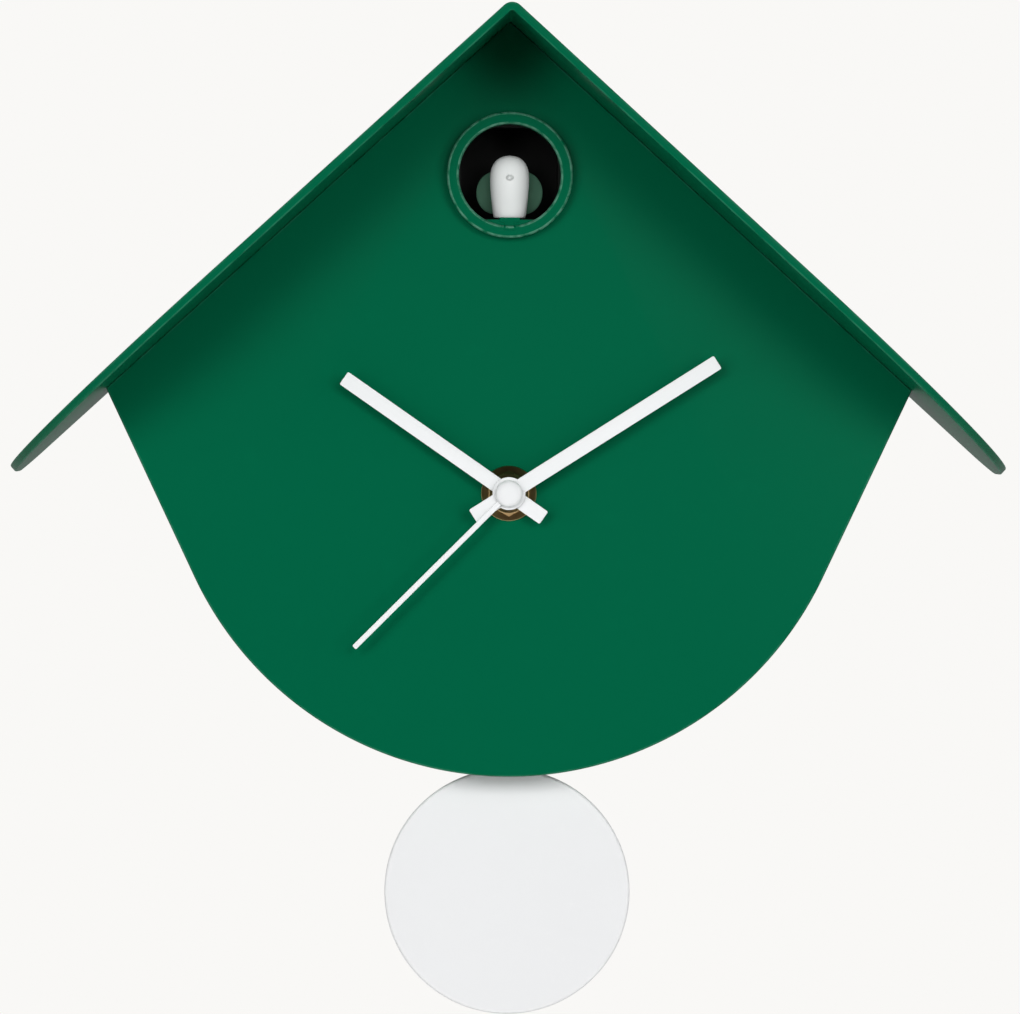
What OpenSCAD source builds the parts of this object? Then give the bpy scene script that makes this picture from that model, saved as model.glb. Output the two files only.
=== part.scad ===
// Wall cuckoo clock: a house-shaped case under a deep pitched roof, a bird behind a round window,
// three hands on a quartz movement, and a round pendulum disc that hangs below the case.
//
// Frame: the origin is the centre of the hanging keyhole's round entry, on the wall plane.
// +Z is up, -Y points from the wall to the viewer, and the clock's centre plane is X = 0.
// A depth is a distance in front of the wall. A height is measured from the hands' axis.
// Angles of hands and arbors run clockwise from twelve o'clock, as the viewer sees them.

/* [Roof] */
// Distance from the centre plane to an eave's tip
roof_half = 150; // [124:1:182]
// Slope of each roof panel, in degrees
roof_pitch = 42.4; // [38:0.05:46]
// Height above the hands at which the slopes of the two panels meet
ridge_height = 144.5; // [141:0.1:174]
// Radius that rounds the outside of the ridge
ridge_r = 3.5; // [2.5:0.5:6]
// Depth of the roof, from the wall to its front edge
roof_depth = 105; // [86:1:128]
// Thickness of the roof panels
roof_t = 2.5; // [2:0.1:3.2]
// Radius of the front lower corner of each panel
eave_front_r = 80; // [50:1:84]
// Radius of the rear lower corner of each panel
eave_rear_r = 10; // [4:1:14]

/* [Case] */
// Depth of the case, from the wall to the face
case_depth = 43; // [40:0.5:52]
// Thickness of the face and of the case walls
wall_t = 2; // [1.6:0.1:2.6]
// Radius of the round bottom of the case
case_r = 103.9; // [102:0.1:112]
// Height of the bottom arc's centre above the hands
case_r_height = 19; // [16:0.5:24]
// Lean of the case sides from vertical, in degrees
side_lean = 25.2; // [22:0.1:28]
// Thickness of the back cover
cover_t = 2; // [1.6:0.1:2.6]
// Gap between the back cover and the case walls
cover_gap = 0.3; // [0.15:0.05:0.5]

/* [Hanging] */
// Height of the hanging keyhole above the hands
hook_height = 118; // [114:0.5:119]
// Radius of the keyhole's round entry
keyhole_r = 4.5; // [4:0.1:5]
// Width of the keyhole's narrow slot
keyhole_slot_w = 4; // [3.5:0.1:4.2]
// Length of the narrow slot above the entry's centre
keyhole_slot_len = 7; // [6:0.5:8]

/* [Window and bird] */
// Height of the window's centre above the hands
window_height = 95; // [92:0.5:98]
// Radius of the window's hole
window_r = 15.2; // [14.6:0.1:16]
// Outer radius of the ring round the window
ring_r = 18.8; // [18.2:0.1:20]
// How far the ring stands out from the face
ring_proud = 5; // [3:0.5:6]
// Drop from the window's centre to the floor the bird stands on
floor_drop = 13; // [12.5:0.1:13.2]
// How far the bird comes out
bird_travel = 20; // [14:0.5:24]

/* [Hands] */
// Length of the hour hand from the axis to its tip
hour_len = 60.1; // [50:0.1:72]
// Length of the minute hand from the axis to its tip
minute_len = 73.5; // [61:0.1:74]
// Length of the second hand from the axis to its tip
second_len = 65.1; // [54:0.1:74]
// Length of the tails of the hour and minute hands
hand_tail = 12.7; // [10:0.1:15]
// Width of the hour and minute hands
hand_w = 4.5; // [3.6:0.1:5.4]
// Width of the second hand
second_w = 1.6; // [1.2:0.1:2]
// Angle of the hour hand
hour_angle = 304.8; // [0:0.1:360]
// Angle of the minute hand
minute_angle = 57.6; // [0:0.1:360]
// Angle of the second hand
second_angle = 225; // [0:0.1:360]

/* [Movement] */
// Side of the square movement
movement_side = 56; // [55:0.5:58]
// Radius of the threaded bushing through the face
bushing_r = 4; // [3.8:0.05:4.5]
// Running clearance between turning parts, on the radius
running = 0.04; // [0.02:0.01:0.08]
// Radius of the washer in front of the face
washer_r = 8.25; // [7.5:0.05:9]
// Width of the hex nut across its flats
nut_flats = 12; // [11:0.1:13]

/* [Pendulum] */
// Radius of the pendulum disc
disc_r = 37; // [31:0.5:38]
// Drop from the hands to the disc's centre
disc_drop = 120.4; // [120:0.1:130]
// Thickness of the disc
disc_t = 3.5; // [3:0.1:4.2]
// Drop from the hands to the pendulum's pivot
pivot_drop = 37; // [36:0.5:38]
// Swing to each side that the bottom slot leaves room for, in degrees
swing = 8; // [4:0.5:9]

/* [Power and sound] */
// Radius of an AA cell
cell_r = 7.1; // [6.8:0.05:7.2]
// Length of an AA cell
cell_len = 50.5; // [49:0.1:50.8]
// Radius of the speaker
speaker_r = 22.5; // [18:0.5:23]

/* [Hidden] */
$fn = 96;
eps = 0.01;
touch = 0.3;                                    // clear gap between pieces that only pass each other

// Heights are turned into the frame by this shift.
hands_z = -hook_height;

// Roof
roof_tan = tan(roof_pitch);
panel_len = roof_half / cos(roof_pitch);
ceiling_height = ridge_height - roof_t / cos(roof_pitch);   // underside of the ridge

// Depths in the case
face_back = case_depth - wall_t;
ring_front = case_depth + ring_proud;

// Case screws and posts
post_r = 4;
cover_screw_r = 1.3;
small_screw_r = 0.9;
roof_boss_r = 3.5;
roof_boss_len = 5;
roof_boss_depth = case_depth / 2;
roof_boss_at = [72, 128];                       // distances down the slope from the ridge
post_spots = [[66, 60], [97, 3], [50, -58]];    // one side; the other side mirrors them

// Movement depths, front to back
gasket_t = 1;
movement_front_depth = face_back - gasket_t;
movement_t = 17.6;
movement_back_depth = movement_front_depth - movement_t;
movement_split = 9;                             // depth of the front shell
shell_t = 1.6;
shell_corner_r = 3;
layer_t = 1;
layer_pitch = 2;
first_layer = movement_front_depth - shell_t - 0.8;
function layer_front(i) = first_layer - i * layer_pitch;
function layer_back(i) = layer_front(i) - layer_t;
hour_layer = 0;
minute_layer = 1;
centre_layer = 2;
third_layer = 3;
seconds_layer = 4;
rotor_layer = 5;
rear_plate = movement_back_depth + shell_t;

// Nested arbors
second_arbor_r = 0.6;
minute_pipe_bore = second_arbor_r + running;
minute_pipe_r = 1.5;
hour_pipe_bore = minute_pipe_r + running;
hour_pipe_r = 2.5;
bushing_bore = hour_pipe_r + running;
arbor_r = 0.5;
stem_r = 1.5;
bearing_r = 1.5;

// Stack in front of the face
washer_t = 1;
nut_t = 2.8;
nut_front = case_depth + washer_t + nut_t;
bushing_front = nut_front + 0.8;
hand_t = 0.8;
second_t = 0.4;
hand_step = hand_t + 0.6;
hour_back = bushing_front + 1;
minute_back = hour_back + hand_step;
second_back = minute_back + hand_step;
hand_hub_r = 4.9;
cap_r = 4;
cap_h = 2.4;

// Wheel train: teeth, and places of the arbors round the hands' axis
seconds_teeth = 60;
seconds_leaves = 8;
inter_teeth = 48;
inter_leaves = 12;
rotor_leaves = 8;
third_teeth = 60;
third_leaves = 8;
centre_teeth = 64;
cannon_leaves = 12;
minute_teeth = 36;
minute_leaves = 10;
hour_teeth = 40;
tooth_slack = 0.12;                             // share of the tooth's width left as backlash
train_reach = 12;                               // from the hands' axis to the third and minute arbors
inter_reach = 13;
rotor_reach = 10;
function polar(angle, reach) = [reach * sin(angle), reach * cos(angle)];
hands_at = [0, 0];
third_dir = 225;
minute_dir = 135;
inter_dir = 315;
rotor_dir = 350;
third_at = polar(third_dir, train_reach);
minute_at = polar(minute_dir, train_reach);
inter_at = polar(inter_dir, inter_reach);
rotor_at = inter_at + polar(rotor_dir, rotor_reach);
// The module of a pair of wheels follows from the distance between their arbors.
function pair_module(reach, teeth_a, teeth_b) = 2 * reach / (teeth_a + teeth_b);
seconds_module = pair_module(inter_reach, seconds_teeth, inter_leaves);
rotor_module = pair_module(rotor_reach, inter_teeth, rotor_leaves);
third_module = pair_module(train_reach, third_teeth, seconds_leaves);
centre_module = pair_module(train_reach, centre_teeth, third_leaves);
minute_module = pair_module(train_reach, minute_teeth, cannon_leaves);
hour_module = pair_module(train_reach, hour_teeth, minute_leaves);
// A tooth of wheel a stands at phase_a. This puts a gap of wheel b, which lies in direction dir from a,
// opposite it. Directions here run counter-clockwise from +X.
function mesh_phase(phase_a, teeth_a, teeth_b, dir) =
    dir + 180 + 180 / teeth_b - (phase_a - dir) * teeth_a / teeth_b;
function plane_dir(clock_dir) = 90 - clock_dir;
inter_leaf_phase = mesh_phase(0, seconds_teeth, inter_leaves, plane_dir(inter_dir));
rotor_phase = mesh_phase(0, inter_teeth, rotor_leaves, plane_dir(rotor_dir));
third_phase = mesh_phase(0, seconds_leaves, third_teeth, plane_dir(third_dir));
centre_phase = mesh_phase(0, third_leaves, centre_teeth, plane_dir(third_dir) + 180);
minute_phase = mesh_phase(0, cannon_leaves, minute_teeth, plane_dir(minute_dir));
hour_phase = mesh_phase(0, minute_leaves, hour_teeth, plane_dir(minute_dir) + 180);

// Motor of the movement
magnet_r = 3;
magnet_t = 3;
magnet_front = movement_front_depth - 7;
stator_hole_r = magnet_r + 0.7;
stator_t = 1;
stator_front = magnet_front - (magnet_t - stator_t) / 2;
core_height = 21;
coil_left = 1;
coil_right = 20;
coil_r = 3.6;
board_t = 1;
board_front = rear_plate + 2;
clock_board_low = [5, 1];
clock_board_high = [1, 1] * (movement_side / 2 - shell_t - 1.6);
crystal_r = 1.5;
crystal_base_r = 1.7;
crystal_at = [21, 6];                           // lower end of the can
crystal_len = 8;
chip_t = 1.2;
clock_chip = [[9, 7], [15, 13]];                // lower and upper corner
sound_chips = [[[-72, 33], [-63, 45]], [[-54, 43], [-48, 48]]];

// Knob that sets the hands, through the back cover
knob_r = 6;
knob_front = cover_t + 6;
knob_back = 0.6;
knob_hole_r = knob_r + 2;

// Bird, its housing and its drive
window_z = window_height;
bird_depth = case_depth - 8;                    // the bird's own centre line, at rest
bird_lift = 0.3;                                // the bird's feet stay this far above the floor
bird_r = 5.9;
bird_foot_r = 4.6;
bird_h = 19;
carriage_w = 6;
carriage_t = 2.6;
carriage_side_gap = 0.2;
carriage_front = ring_front - 0.2;
rack_w = 3;
rack_module = 0.5;
pinion_teeth = 12;
pinion_pitch_r = rack_module * pinion_teeth / 2;
pinion_depth = face_back - 6;
carriage_back = pinion_depth - bird_travel - 2.5;      // still over the pinion when the bird is out
carriage_top = -floor_drop + bird_lift;
carriage_bottom = carriage_top - carriage_t;
rack_pitch_z = carriage_bottom - 0.6;
rack_tip = rack_module;
pinion_z = rack_pitch_z - pinion_pitch_r;
housing_in = 14.5;                              // half the inner width of the housing
housing_t = 2;
housing_floor_t = 4.4;
housing_back = carriage_back - 0.5 - housing_t;
housing_flange_depth = face_back - 6;
housing_screw_spots = [[20, window_z - 10], [20, window_z + 4]];   // one side; the other side mirrors them
small_screw_len = 5;
motor_r = 4.9;
gearbox_left = 5;
gearbox_right = 17;
motor_right = 31;

// Pendulum depths, front to back
bracket_front = 33;
bracket_t = 1.6;
bracket_back = 15;
pin_r = 0.75;
coil_front = bracket_front - bracket_t;
drive_coil_r = 9;
drive_coil_t = 4;
hanger_t = 1.6;
hanger_front = 24.5;
hanger_len = 33;
hanger_w = 6;
drive_drop = pivot_drop + 21;
stud_drop = pivot_drop + hanger_len - 4;
stud_r = 1;
rod_r = 1.2;
rod_depth = 20.7;
disc_front = rod_depth + 5.5;
disc_back = disc_front - disc_t;
disc_edge_r = 0.8;
// The slot in the bottom lets the top of the disc swing, with room at each side.
slot_half = (disc_drop - disc_r - pivot_drop + 6) * sin(swing)
    + sqrt(disc_r * disc_r - pow(disc_r - 3, 2)) + 1;
slot_front = disc_front + 2;
slot_back = rod_depth - rod_r - 2;

// Battery tray on the back cover
cell_gap = 0.8;
cell_step = 2 * cell_r + cell_gap;
spring_len = 2.6;
tray_t = 1.5;
tray_left = movement_side / 2 + 4;
tray_right = tray_left + 2 * tray_t + cell_len + spring_len + 0.5;
tray_half = 1.5 * cell_step + tray_t + 0.4;
tray_floor = cover_t + 2 * cell_r + 1;
door_left = tray_left + 2.5;
door_right = tray_right - 2.5;
door_half = tray_half - 3;
door_t = 1.6;
knuckle_r = 1.4;
hinge_depth = 1.5;
hinge_z = door_half - knuckle_r - touch;
hinge_pin_r = 0.7;
hinge_pin_len = 2;

// Speaker, sound board and switch on the back cover
speaker_at = [-64, -8];
speaker_flange_t = 1;
board_left = -82;
board_right = -38;
board_low = 26;
board_high = 52;
sound_board_depth = cover_t + 4;
sound_board_t = 1.6;
switch_at = [-60, 39];
switch_travel = 2;
switch_half_w = 6;
switch_half_h = 3;

// Internal leads: points chosen by hand, [x, depth, height]
lead_r = 0.6;
battery_lead = [[36, 20, 24.8], [33, 27, 33], [0, 27, 38], [-36, 20, 37], [-42, 8.4, 34]];
speaker_lead = [[-62, 17, 4], [-60, 19, 12], [-59, 15, 22], [-60, 8.4, 30]];
motor_lead = [[34, 35, 75], [35, 22, 63], [0, 20, 58], [-36, 14, 50], [-42, 8.4, 46]];
lead_gap = 2;

// ---------------------------------------------------------------- helpers

// Moves heights measured from the hands' axis into the frame.
module from_hands() {
    translate([0, 0, hands_z]) children();
}

// Extrudes a front-view outline between two depths, the rear one first.
module slab(back, front) {
    translate([0, -back, 0]) rotate([90, 0, 0]) linear_extrude(front - back) children();
}

// A round bar along the depth, centred on a front-view spot.
module bar(at, r, back, front) {
    translate([at[0], -back, at[1]]) rotate([90, 0, 0]) cylinder(h = front - back, r = r);
}

// A tube along the depth.
module tube(at, r, bore, back, front) {
    difference() {
        bar(at, r, back, front);
        bar(at, bore, back - 1, front + 1);
    }
}

// A block given by its two corners: [x, depth, height].
module block(low, high) {
    translate([low[0], -high[1], low[2]])
        cube([high[0] - low[0], high[1] - low[1], high[2] - low[2]]);
}

// A round bar along X.
module bar_x(left, right, depth, z, r) {
    translate([left, -depth, z]) rotate([0, 90, 0]) cylinder(h = right - left, r = r);
}

// Profile points are [radius, depth]; the piece is turned round a front-view spot.
module turned(at) {
    translate([at[0], 0, at[1]]) rotate([90, 0, 0]) rotate_extrude() children();
}

module both_sides() {
    children();
    mirror([1, 0, 0]) children();
}

// Radius angle of an involute flank, in degrees.
function involute(a) = tan(a) * 180 / PI - a;

// Front-view outline of a toothed wheel with one tooth centred on the phase angle.
function tooth_half_angle(teeth, pressure, r, base_r) =
    90 / teeth * (1 - tooth_slack) + involute(pressure) - (r > base_r ? involute(acos(base_r / r)) : 0);

function gear_points(teeth, tooth_module, phase) =
    let (
        pressure = 20,
        pitch_r = tooth_module * teeth / 2,
        base_r = pitch_r * cos(pressure),
        root_r = pitch_r - 1.2 * tooth_module,
        tip_r = pitch_r + 0.8 * tooth_module,
        radii = [root_r, max(root_r, pitch_r - 0.35 * tooth_module), pitch_r + 0.1 * tooth_module, tip_r]
    )
    [
        for (i = [0 : teeth - 1])
            for (side = [-1, 1])
                for (k = [0 : 3])
                    let (
                        r = radii[side < 0 ? k : 3 - k],
                        half = tooth_half_angle(teeth, pressure, r, base_r),
                        a = phase + i * 360 / teeth + side * half
                    )
                    [r * cos(a), r * sin(a)]
    ];

module gear(at, teeth, tooth_module, phase, layer_number) {
    slab(layer_back(layer_number), layer_front(layer_number))
        translate(at) polygon(gear_points(teeth, tooth_module, phase));
}

// Spoke windows that lighten a wheel.
module wheel_windows(at, inner_r, outer_r, count, layer_number) {
    middle = (inner_r + outer_r) / 2;
    for (i = [0 : count - 1])
        let (a = (i + 0.5) * 360 / count)
        bar(at + polar(a, middle), (outer_r - inner_r) / 2,
            layer_back(layer_number) - 1, layer_front(layer_number) + 1);
}

// A screw along the depth. Its head's bearing face is at head_depth and it points towards +depth.
module screw(at, head_depth, len, shank_r, head_r) {
    head_h = head_r * 0.6;
    slot_w = head_r * 0.3;
    difference() {
        union() {
            bar(at, shank_r, head_depth, head_depth + len);
            bar(at, head_r, head_depth - head_h, head_depth);
        }
        cross_slots(at, head_depth - head_h, head_h / 2, head_r * 1.2, slot_w);
    }
}

module cross_slots(at, back, deep, span, w) {
    block([at[0] - span / 2, back - 1, at[1] - w / 2], [at[0] + span / 2, back + deep, at[1] + w / 2]);
    block([at[0] - w / 2, back - 1, at[1] - span / 2], [at[0] + w / 2, back + deep, at[1] + span / 2]);
}

// A lead: a tube with flat sides, swept along the points of its route.
lead_sides = 8;
module lead(points, shift) {
    spots = [for (p = points) [p[0], -p[1], p[2]] + shift];
    last = len(spots) - 1;
    rings = [
        for (i = [0 : last])
            let (
                along = spots[min(i + 1, last)] - spots[max(i - 1, 0)],
                axis = along / norm(along),
                across = cross(axis, [0, 0, 1]),
                u = across / norm(across),
                v = cross(axis, u)
            )
            for (k = [0 : lead_sides - 1])
                spots[i] + lead_r * (cos(k * 360 / lead_sides) * u + sin(k * 360 / lead_sides) * v)
    ];
    polyhedron(
        points = rings,
        faces = [
            [for (k = [0 : lead_sides - 1]) k],
            [for (k = [0 : lead_sides - 1]) last * lead_sides + lead_sides - 1 - k],
            for (i = [0 : last - 1])
                for (k = [0 : lead_sides - 1])
                    let (
                        a = i * lead_sides + k,
                        b = i * lead_sides + (k + 1) % lead_sides
                    )
                    [a, a + lead_sides, b + lead_sides, b]
        ]
    );
}

// ---------------------------------------------------------------- roof and case

// Frame of the right roof panel: +X runs down the slope and +Z out of the top face.
module on_panel() {
    translate([0, 0, ridge_height]) rotate([0, roof_pitch, 0]) children();
}

// A quarter of a square's corner that lies outside a rounding circle.
module corner_waste(r) {
    difference() {
        square(r + 1);
        circle(r = r);
    }
}

module roof_panel() {
    on_panel()
        translate([0, 0, -roof_t])
            linear_extrude(roof_t)
                difference() {
                    translate([0, -roof_depth]) square([panel_len, roof_depth]);
                    translate([panel_len - eave_rear_r, -eave_rear_r]) corner_waste(eave_rear_r);
                    translate([panel_len - eave_front_r, -roof_depth + eave_front_r])
                        mirror([0, 1]) corner_waste(eave_front_r);
                }
}

// Places children at each roof boss, in the panel's frame.
module at_roof_bosses() {
    for (u = roof_boss_at)
        on_panel() translate([u, -roof_boss_depth, -roof_t]) mirror([0, 0, 1]) children();
}

module roof_boss() {
    difference() {
        translate([0, 0, -eps]) cylinder(h = roof_boss_len + eps, r = roof_boss_r);
        translate([0, 0, 0.5]) cylinder(h = roof_boss_len, r = cover_screw_r);
    }
}

// What the rounding takes off along the ridge.
module ridge_waste() {
    reach = ridge_r + 2;
    slab(-1, roof_depth + 1)
        translate([0, ridge_height - ridge_r / cos(roof_pitch)])
            difference() {
                polygon([
                    [0, 0], reach * [sin(roof_pitch), cos(roof_pitch)], [0, 2 * reach],
                    reach * [-sin(roof_pitch), cos(roof_pitch)]
                ]);
                circle(r = ridge_r);
            }
}

module roof_shell() {
    color("darkgreen")
        from_hands()
            difference() {
                both_sides() {
                    roof_panel();
                    at_roof_bosses() roof_boss();
                }
                ridge_waste();
            }
}

// Top corner of the case outline, set in by a wall or gap.
function corner_x(inset) =
    let (
        reach = case_r - inset,
        top = ceiling_height - inset / cos(roof_pitch),
        up = top - case_r_height + reach * (sin(side_lean) - roof_tan * cos(side_lean))
    )
    reach * cos(side_lean) + sin(side_lean) * up / (cos(side_lean) + roof_tan * sin(side_lean));

// Front-view outline of the case: straight under the roof and down the sides, round at the bottom.
module case_outline(inset) {
    reach = case_r - inset;
    top = ceiling_height - inset / cos(roof_pitch);
    x = corner_x(inset);
    side = [reach * cos(side_lean), case_r_height - reach * sin(side_lean)];
    bottom_steps = 48;
    sweep = 180 - 2 * side_lean;
    polygon([
        [0, top],
        [x, top - x * roof_tan],
        for (i = [0 : bottom_steps])
            let (a = -side_lean - sweep * i / bottom_steps)
            [reach * cos(a), case_r_height + reach * sin(a)],
        [-x, top - x * roof_tan]
    ]);
}

module post(at) {
    difference() {
        bar(at, post_r, cover_t, face_back + eps);
        bar(at, cover_screw_r, cover_t - 1, cover_t + 12);
    }
}

module front_case() {
    boss_clear = roof_boss_r + touch;
    color("green")
        from_hands() {
            difference() {
                slab(0, case_depth) case_outline(0);
                slab(-1, face_back) case_outline(wall_t);
                // window and bushing holes in the face
                bar([0, window_z], ring_spigot_r + 0.1, face_back - 1, case_depth + 1);
                bar(hands_at, bushing_r + 0.1, face_back - 1, case_depth + 1);
                // roof bosses pass through the sloping walls
                both_sides()
                    at_roof_bosses()
                        translate([0, 0, -1]) cylinder(h = wall_t + 3, r = boss_clear);
                // slot for the pendulum
                block([-slot_half, slot_back, -case_r + case_r_height - 2],
                      [slot_half, slot_front, -case_r + case_r_height + 12]);
            }
            both_sides()
                for (spot = post_spots) post(spot);
            // bosses for the bird housing's ears and the pendulum bracket
            both_sides() {
                for (spot = housing_screw_spots) boss_with_hole(spot, housing_flange_depth);
                boss_with_hole([bracket_screw_x, bracket_screw_z], bracket_front);
            }
        }
}

boss_r = 3;
bracket_screw_x = 15;
bracket_screw_z = -pivot_drop - 12;
module boss_with_hole(at, back) {
    difference() {
        bar(at, boss_r, back, face_back + eps);
        bar(at, small_screw_r, back - 1, back + 4);
    }
}

ring_spigot_r = ring_r - 1.8;
ring_edge = 0.7;
module window_ring() {
    groove_half = carriage_w / 2 + carriage_side_gap;
    rack_half = rack_w / 2 + carriage_side_gap;
    color("green")
        from_hands()
            difference() {
                union() {
                    turned([0, window_z])
                        polygon([
                            [window_r, face_back], [ring_spigot_r, face_back], [ring_spigot_r, case_depth],
                            [ring_r, case_depth], [ring_r, ring_front - ring_edge],
                            [ring_r - ring_edge, ring_front],
                            [window_r + ring_edge, ring_front], [window_r, ring_front - ring_edge]
                        ]);
                    // the flat floor fills the bottom of the hole
                    intersection() {
                        bar([0, window_z], window_r + 1, face_back, ring_front);
                        block([-window_r, face_back, window_z - window_r - 1],
                              [window_r, ring_front - ring_edge, window_z - floor_drop]);
                    }
                }
                block([-groove_half, face_back - 1, window_z + carriage_bottom - 0.2],
                      [groove_half, ring_front + 1, window_z - floor_drop + 1]);
                block([-rack_half, face_back - 1, window_z + rack_pitch_z - rack_tip - 0.3],
                      [rack_half, ring_front + 1, window_z - floor_drop]);
            }
}

// Slot with round ends, along X, centred on a front-view spot.
module round_slot(at, len, w, back, front) {
    block([at[0] - len / 2 + w / 2, back, at[1] - w / 2], [at[0] + len / 2 - w / 2, front, at[1] + w / 2]);
    for (side = [-1, 1]) bar([at[0] + side * (len - w) / 2, at[1]], w / 2, back, front);
}

speaker_slot_w = 3;
speaker_slot_step = 5.6;
keyhole_pad_r = 10;
small_post_r = 2.4;
door_rim = 3;                                   // how far the rim reaches past the opening
door_rim_t = 1.5;
module back_cover() {
    pin_hole_r = hinge_pin_r + running;
    pad_front = 2 * cover_t;
    slot_end = hook_height + keyhole_slot_len - keyhole_slot_w / 2;
    color("dimgray")
        from_hands()
            difference() {
                union() {
                    slab(0, cover_t) case_outline(wall_t + cover_gap);
                    bar([0, hook_height], keyhole_pad_r, cover_t - eps, pad_front);
                    // rim round the battery door, which carries the hinge
                    block([door_left - door_rim, cover_t - eps, -door_half - door_rim],
                          [door_right + door_rim, cover_t + door_rim_t, door_half + door_rim]);
                    // posts of the speaker, the sound board and the battery tray
                    for (s = cover_small_screws) bar(s[0], small_post_r, cover_t - eps, s[1]);
                }
                // keyhole
                bar([0, hook_height], keyhole_r, -1, pad_front + 1);
                block([-keyhole_slot_w / 2, -1, hook_height], [keyhole_slot_w / 2, pad_front + 1, slot_end]);
                bar([0, slot_end], keyhole_slot_w / 2, -1, pad_front + 1);
                // cover screws, with sunk heads
                both_sides()
                    for (spot = post_spots) {
                        bar(spot, cover_screw_r + 0.2, -1, cover_t + 1);
                        bar(spot, cover_head_r + 0.3, -1, cover_head_h + 0.1);
                    }
                // set knob
                bar(minute_at, knob_hole_r, -1, cover_t + 1);
                // battery door and its hinge pins
                block([door_left, -1, -door_half], [door_right, cover_t + 3, door_half]);
                bar_x(door_left - hinge_pin_len, door_right + hinge_pin_len,
                      hinge_depth, hinge_z, pin_hole_r);
                // sound slots
                for (i = [-2 : 2])
                    let (half = sqrt(pow(speaker_r - 5, 2) - pow(i * speaker_slot_step, 2)))
                    round_slot(speaker_at + [0, i * speaker_slot_step], 2 * half, speaker_slot_w,
                                   -1, cover_t + 1);
                // switch slot
                block([switch_at[0] - switch_travel - 2.5, -1, switch_at[1] - 2],
                      [switch_at[0] + switch_travel + 2.5, cover_t + 1, switch_at[1] + 2]);
                // holes for the small screws
                for (s = cover_small_screws) bar(s[0], small_screw_r, cover_t - 0.6, s[1] + 1);
            }
}

cover_head_r = 2.6;
cover_head_h = 1.1;
module cover_screws() {
    color("silver")
        from_hands()
            both_sides()
                for (spot = post_spots)
                    difference() {
                        union() {
                            bar(spot, cover_head_r, 0.1, cover_head_h);
                            bar(spot, cover_screw_r, cover_head_h - eps, cover_t + 10);
                        }
                        cross_slots(spot, 0.1, 0.6, 3.2, 0.8);
                    }
}

roof_head_r = 5;
roof_head_h = 1.6;
module roof_screws() {
    color("silver")
        from_hands()
            both_sides()
                at_roof_bosses()
                    difference() {
                        union() {
                            translate([0, 0, 1]) cylinder(h = roof_boss_len - 1, r = cover_screw_r);
                            translate([0, 0, roof_boss_len]) cylinder(h = roof_head_h, r = roof_head_r);
                        }
                        for (turn = [0, 90])
                            rotate(turn)
                                translate([-2, -0.5, roof_boss_len + 0.8]) cube([4, 1, roof_head_h]);
                    }
}

// The back cover's small screws: [spot, depth of the post's top, thickness of what it holds, head radius].
tray_screw_x = [tray_left + 8, tray_right - 8];
tray_screw_z = -tray_half - 3;
tray_post_depth = cover_t + 4;
tray_ear_t = 1.6;
small_head_r = 1.9;
speaker_head_r = 3.1;                           // wide enough to hold the speaker's flange
speaker_screw_reach = speaker_r + 3.5;
board_screw_x = [board_left + 3, board_right - 3];
board_screw_z = (board_low + board_high) / 2;
cover_small_screws = [
    for (a = [30, 150, 270])
        [speaker_at + polar(a, speaker_screw_reach), cover_t + speaker_flange_t, 0, speaker_head_r],
    for (x = board_screw_x) [[x, board_screw_z], sound_board_depth, sound_board_t, small_head_r],
    for (x = tray_screw_x) [[x, tray_screw_z], tray_post_depth, tray_ear_t, small_head_r]
];
module cover_small_screw(at, seat, head_r) {
    slot_half_w = 0.3;
    difference() {
        union() {
            bar(at, small_screw_r, cover_t - 0.5, seat);
            bar(at, head_r, seat, seat + 1.1);
        }
        block([at[0] - head_r, seat + 0.5, at[1] - slot_half_w],
              [at[0] + head_r, seat + 2, at[1] + slot_half_w]);
    }
}

module small_screws() {
    color("silver")
        from_hands() {
            // from the rear into the face's bosses
            both_sides() {
                for (spot = housing_screw_spots)
                    screw(spot, housing_flange_depth - housing_t, small_screw_len,
                          small_screw_r, small_head_r);
                screw([bracket_screw_x, bracket_screw_z], bracket_front - bracket_t, small_screw_len,
                      small_screw_r, small_head_r);
            }
            // from the front into the back cover's posts
            for (s = cover_small_screws) cover_small_screw(s[0], s[1] + s[2], s[3]);
        }
}

// ---------------------------------------------------------------- bird

module bird_housing() {
    out = housing_in + housing_t;
    floor_top = window_z - floor_drop;
    top = window_z + housing_in;
    groove_half = carriage_w / 2 + carriage_side_gap;
    cheek_low = window_z + pinion_z - 3;
    color([0.08, 0.08, 0.08])
        from_hands()
            difference() {
                union() {
                    block([-out, housing_back, floor_top - housing_floor_t],
                          [out, face_back, top + housing_t]);
                    both_sides() {
                        for (spot = housing_screw_spots) ear(spot);
                    }
                    // cheeks that carry the pinion's shaft
                    for (x = [-4.5, 3])
                        block([x, pinion_depth - 3, cheek_low],
                              [x + 1.5, pinion_depth + 3, floor_top - housing_floor_t + eps]);
                }
                block([-housing_in, housing_back + housing_t, floor_top], [housing_in, face_back + 1, top]);
                // groove of the carriage, and the rack's channel down through the floor
                block([-groove_half, housing_back + housing_t, window_z + carriage_bottom - 0.2],
                      [groove_half, face_back + 1, floor_top + 1]);
                block([-rack_w / 2 - 0.4, housing_back + housing_t, window_z + rack_pitch_z - rack_tip - 0.3],
                      [rack_w / 2 + 0.4, face_back + 1, floor_top]);
                // room for the pinion
                block([-2.6, pinion_depth - 4, floor_top - housing_floor_t - 1],
                      [2.6, pinion_depth + 4, floor_top]);
                bar_x(-6, 6, pinion_depth, window_z + pinion_z, pin_r + running);
            }
}

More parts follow.
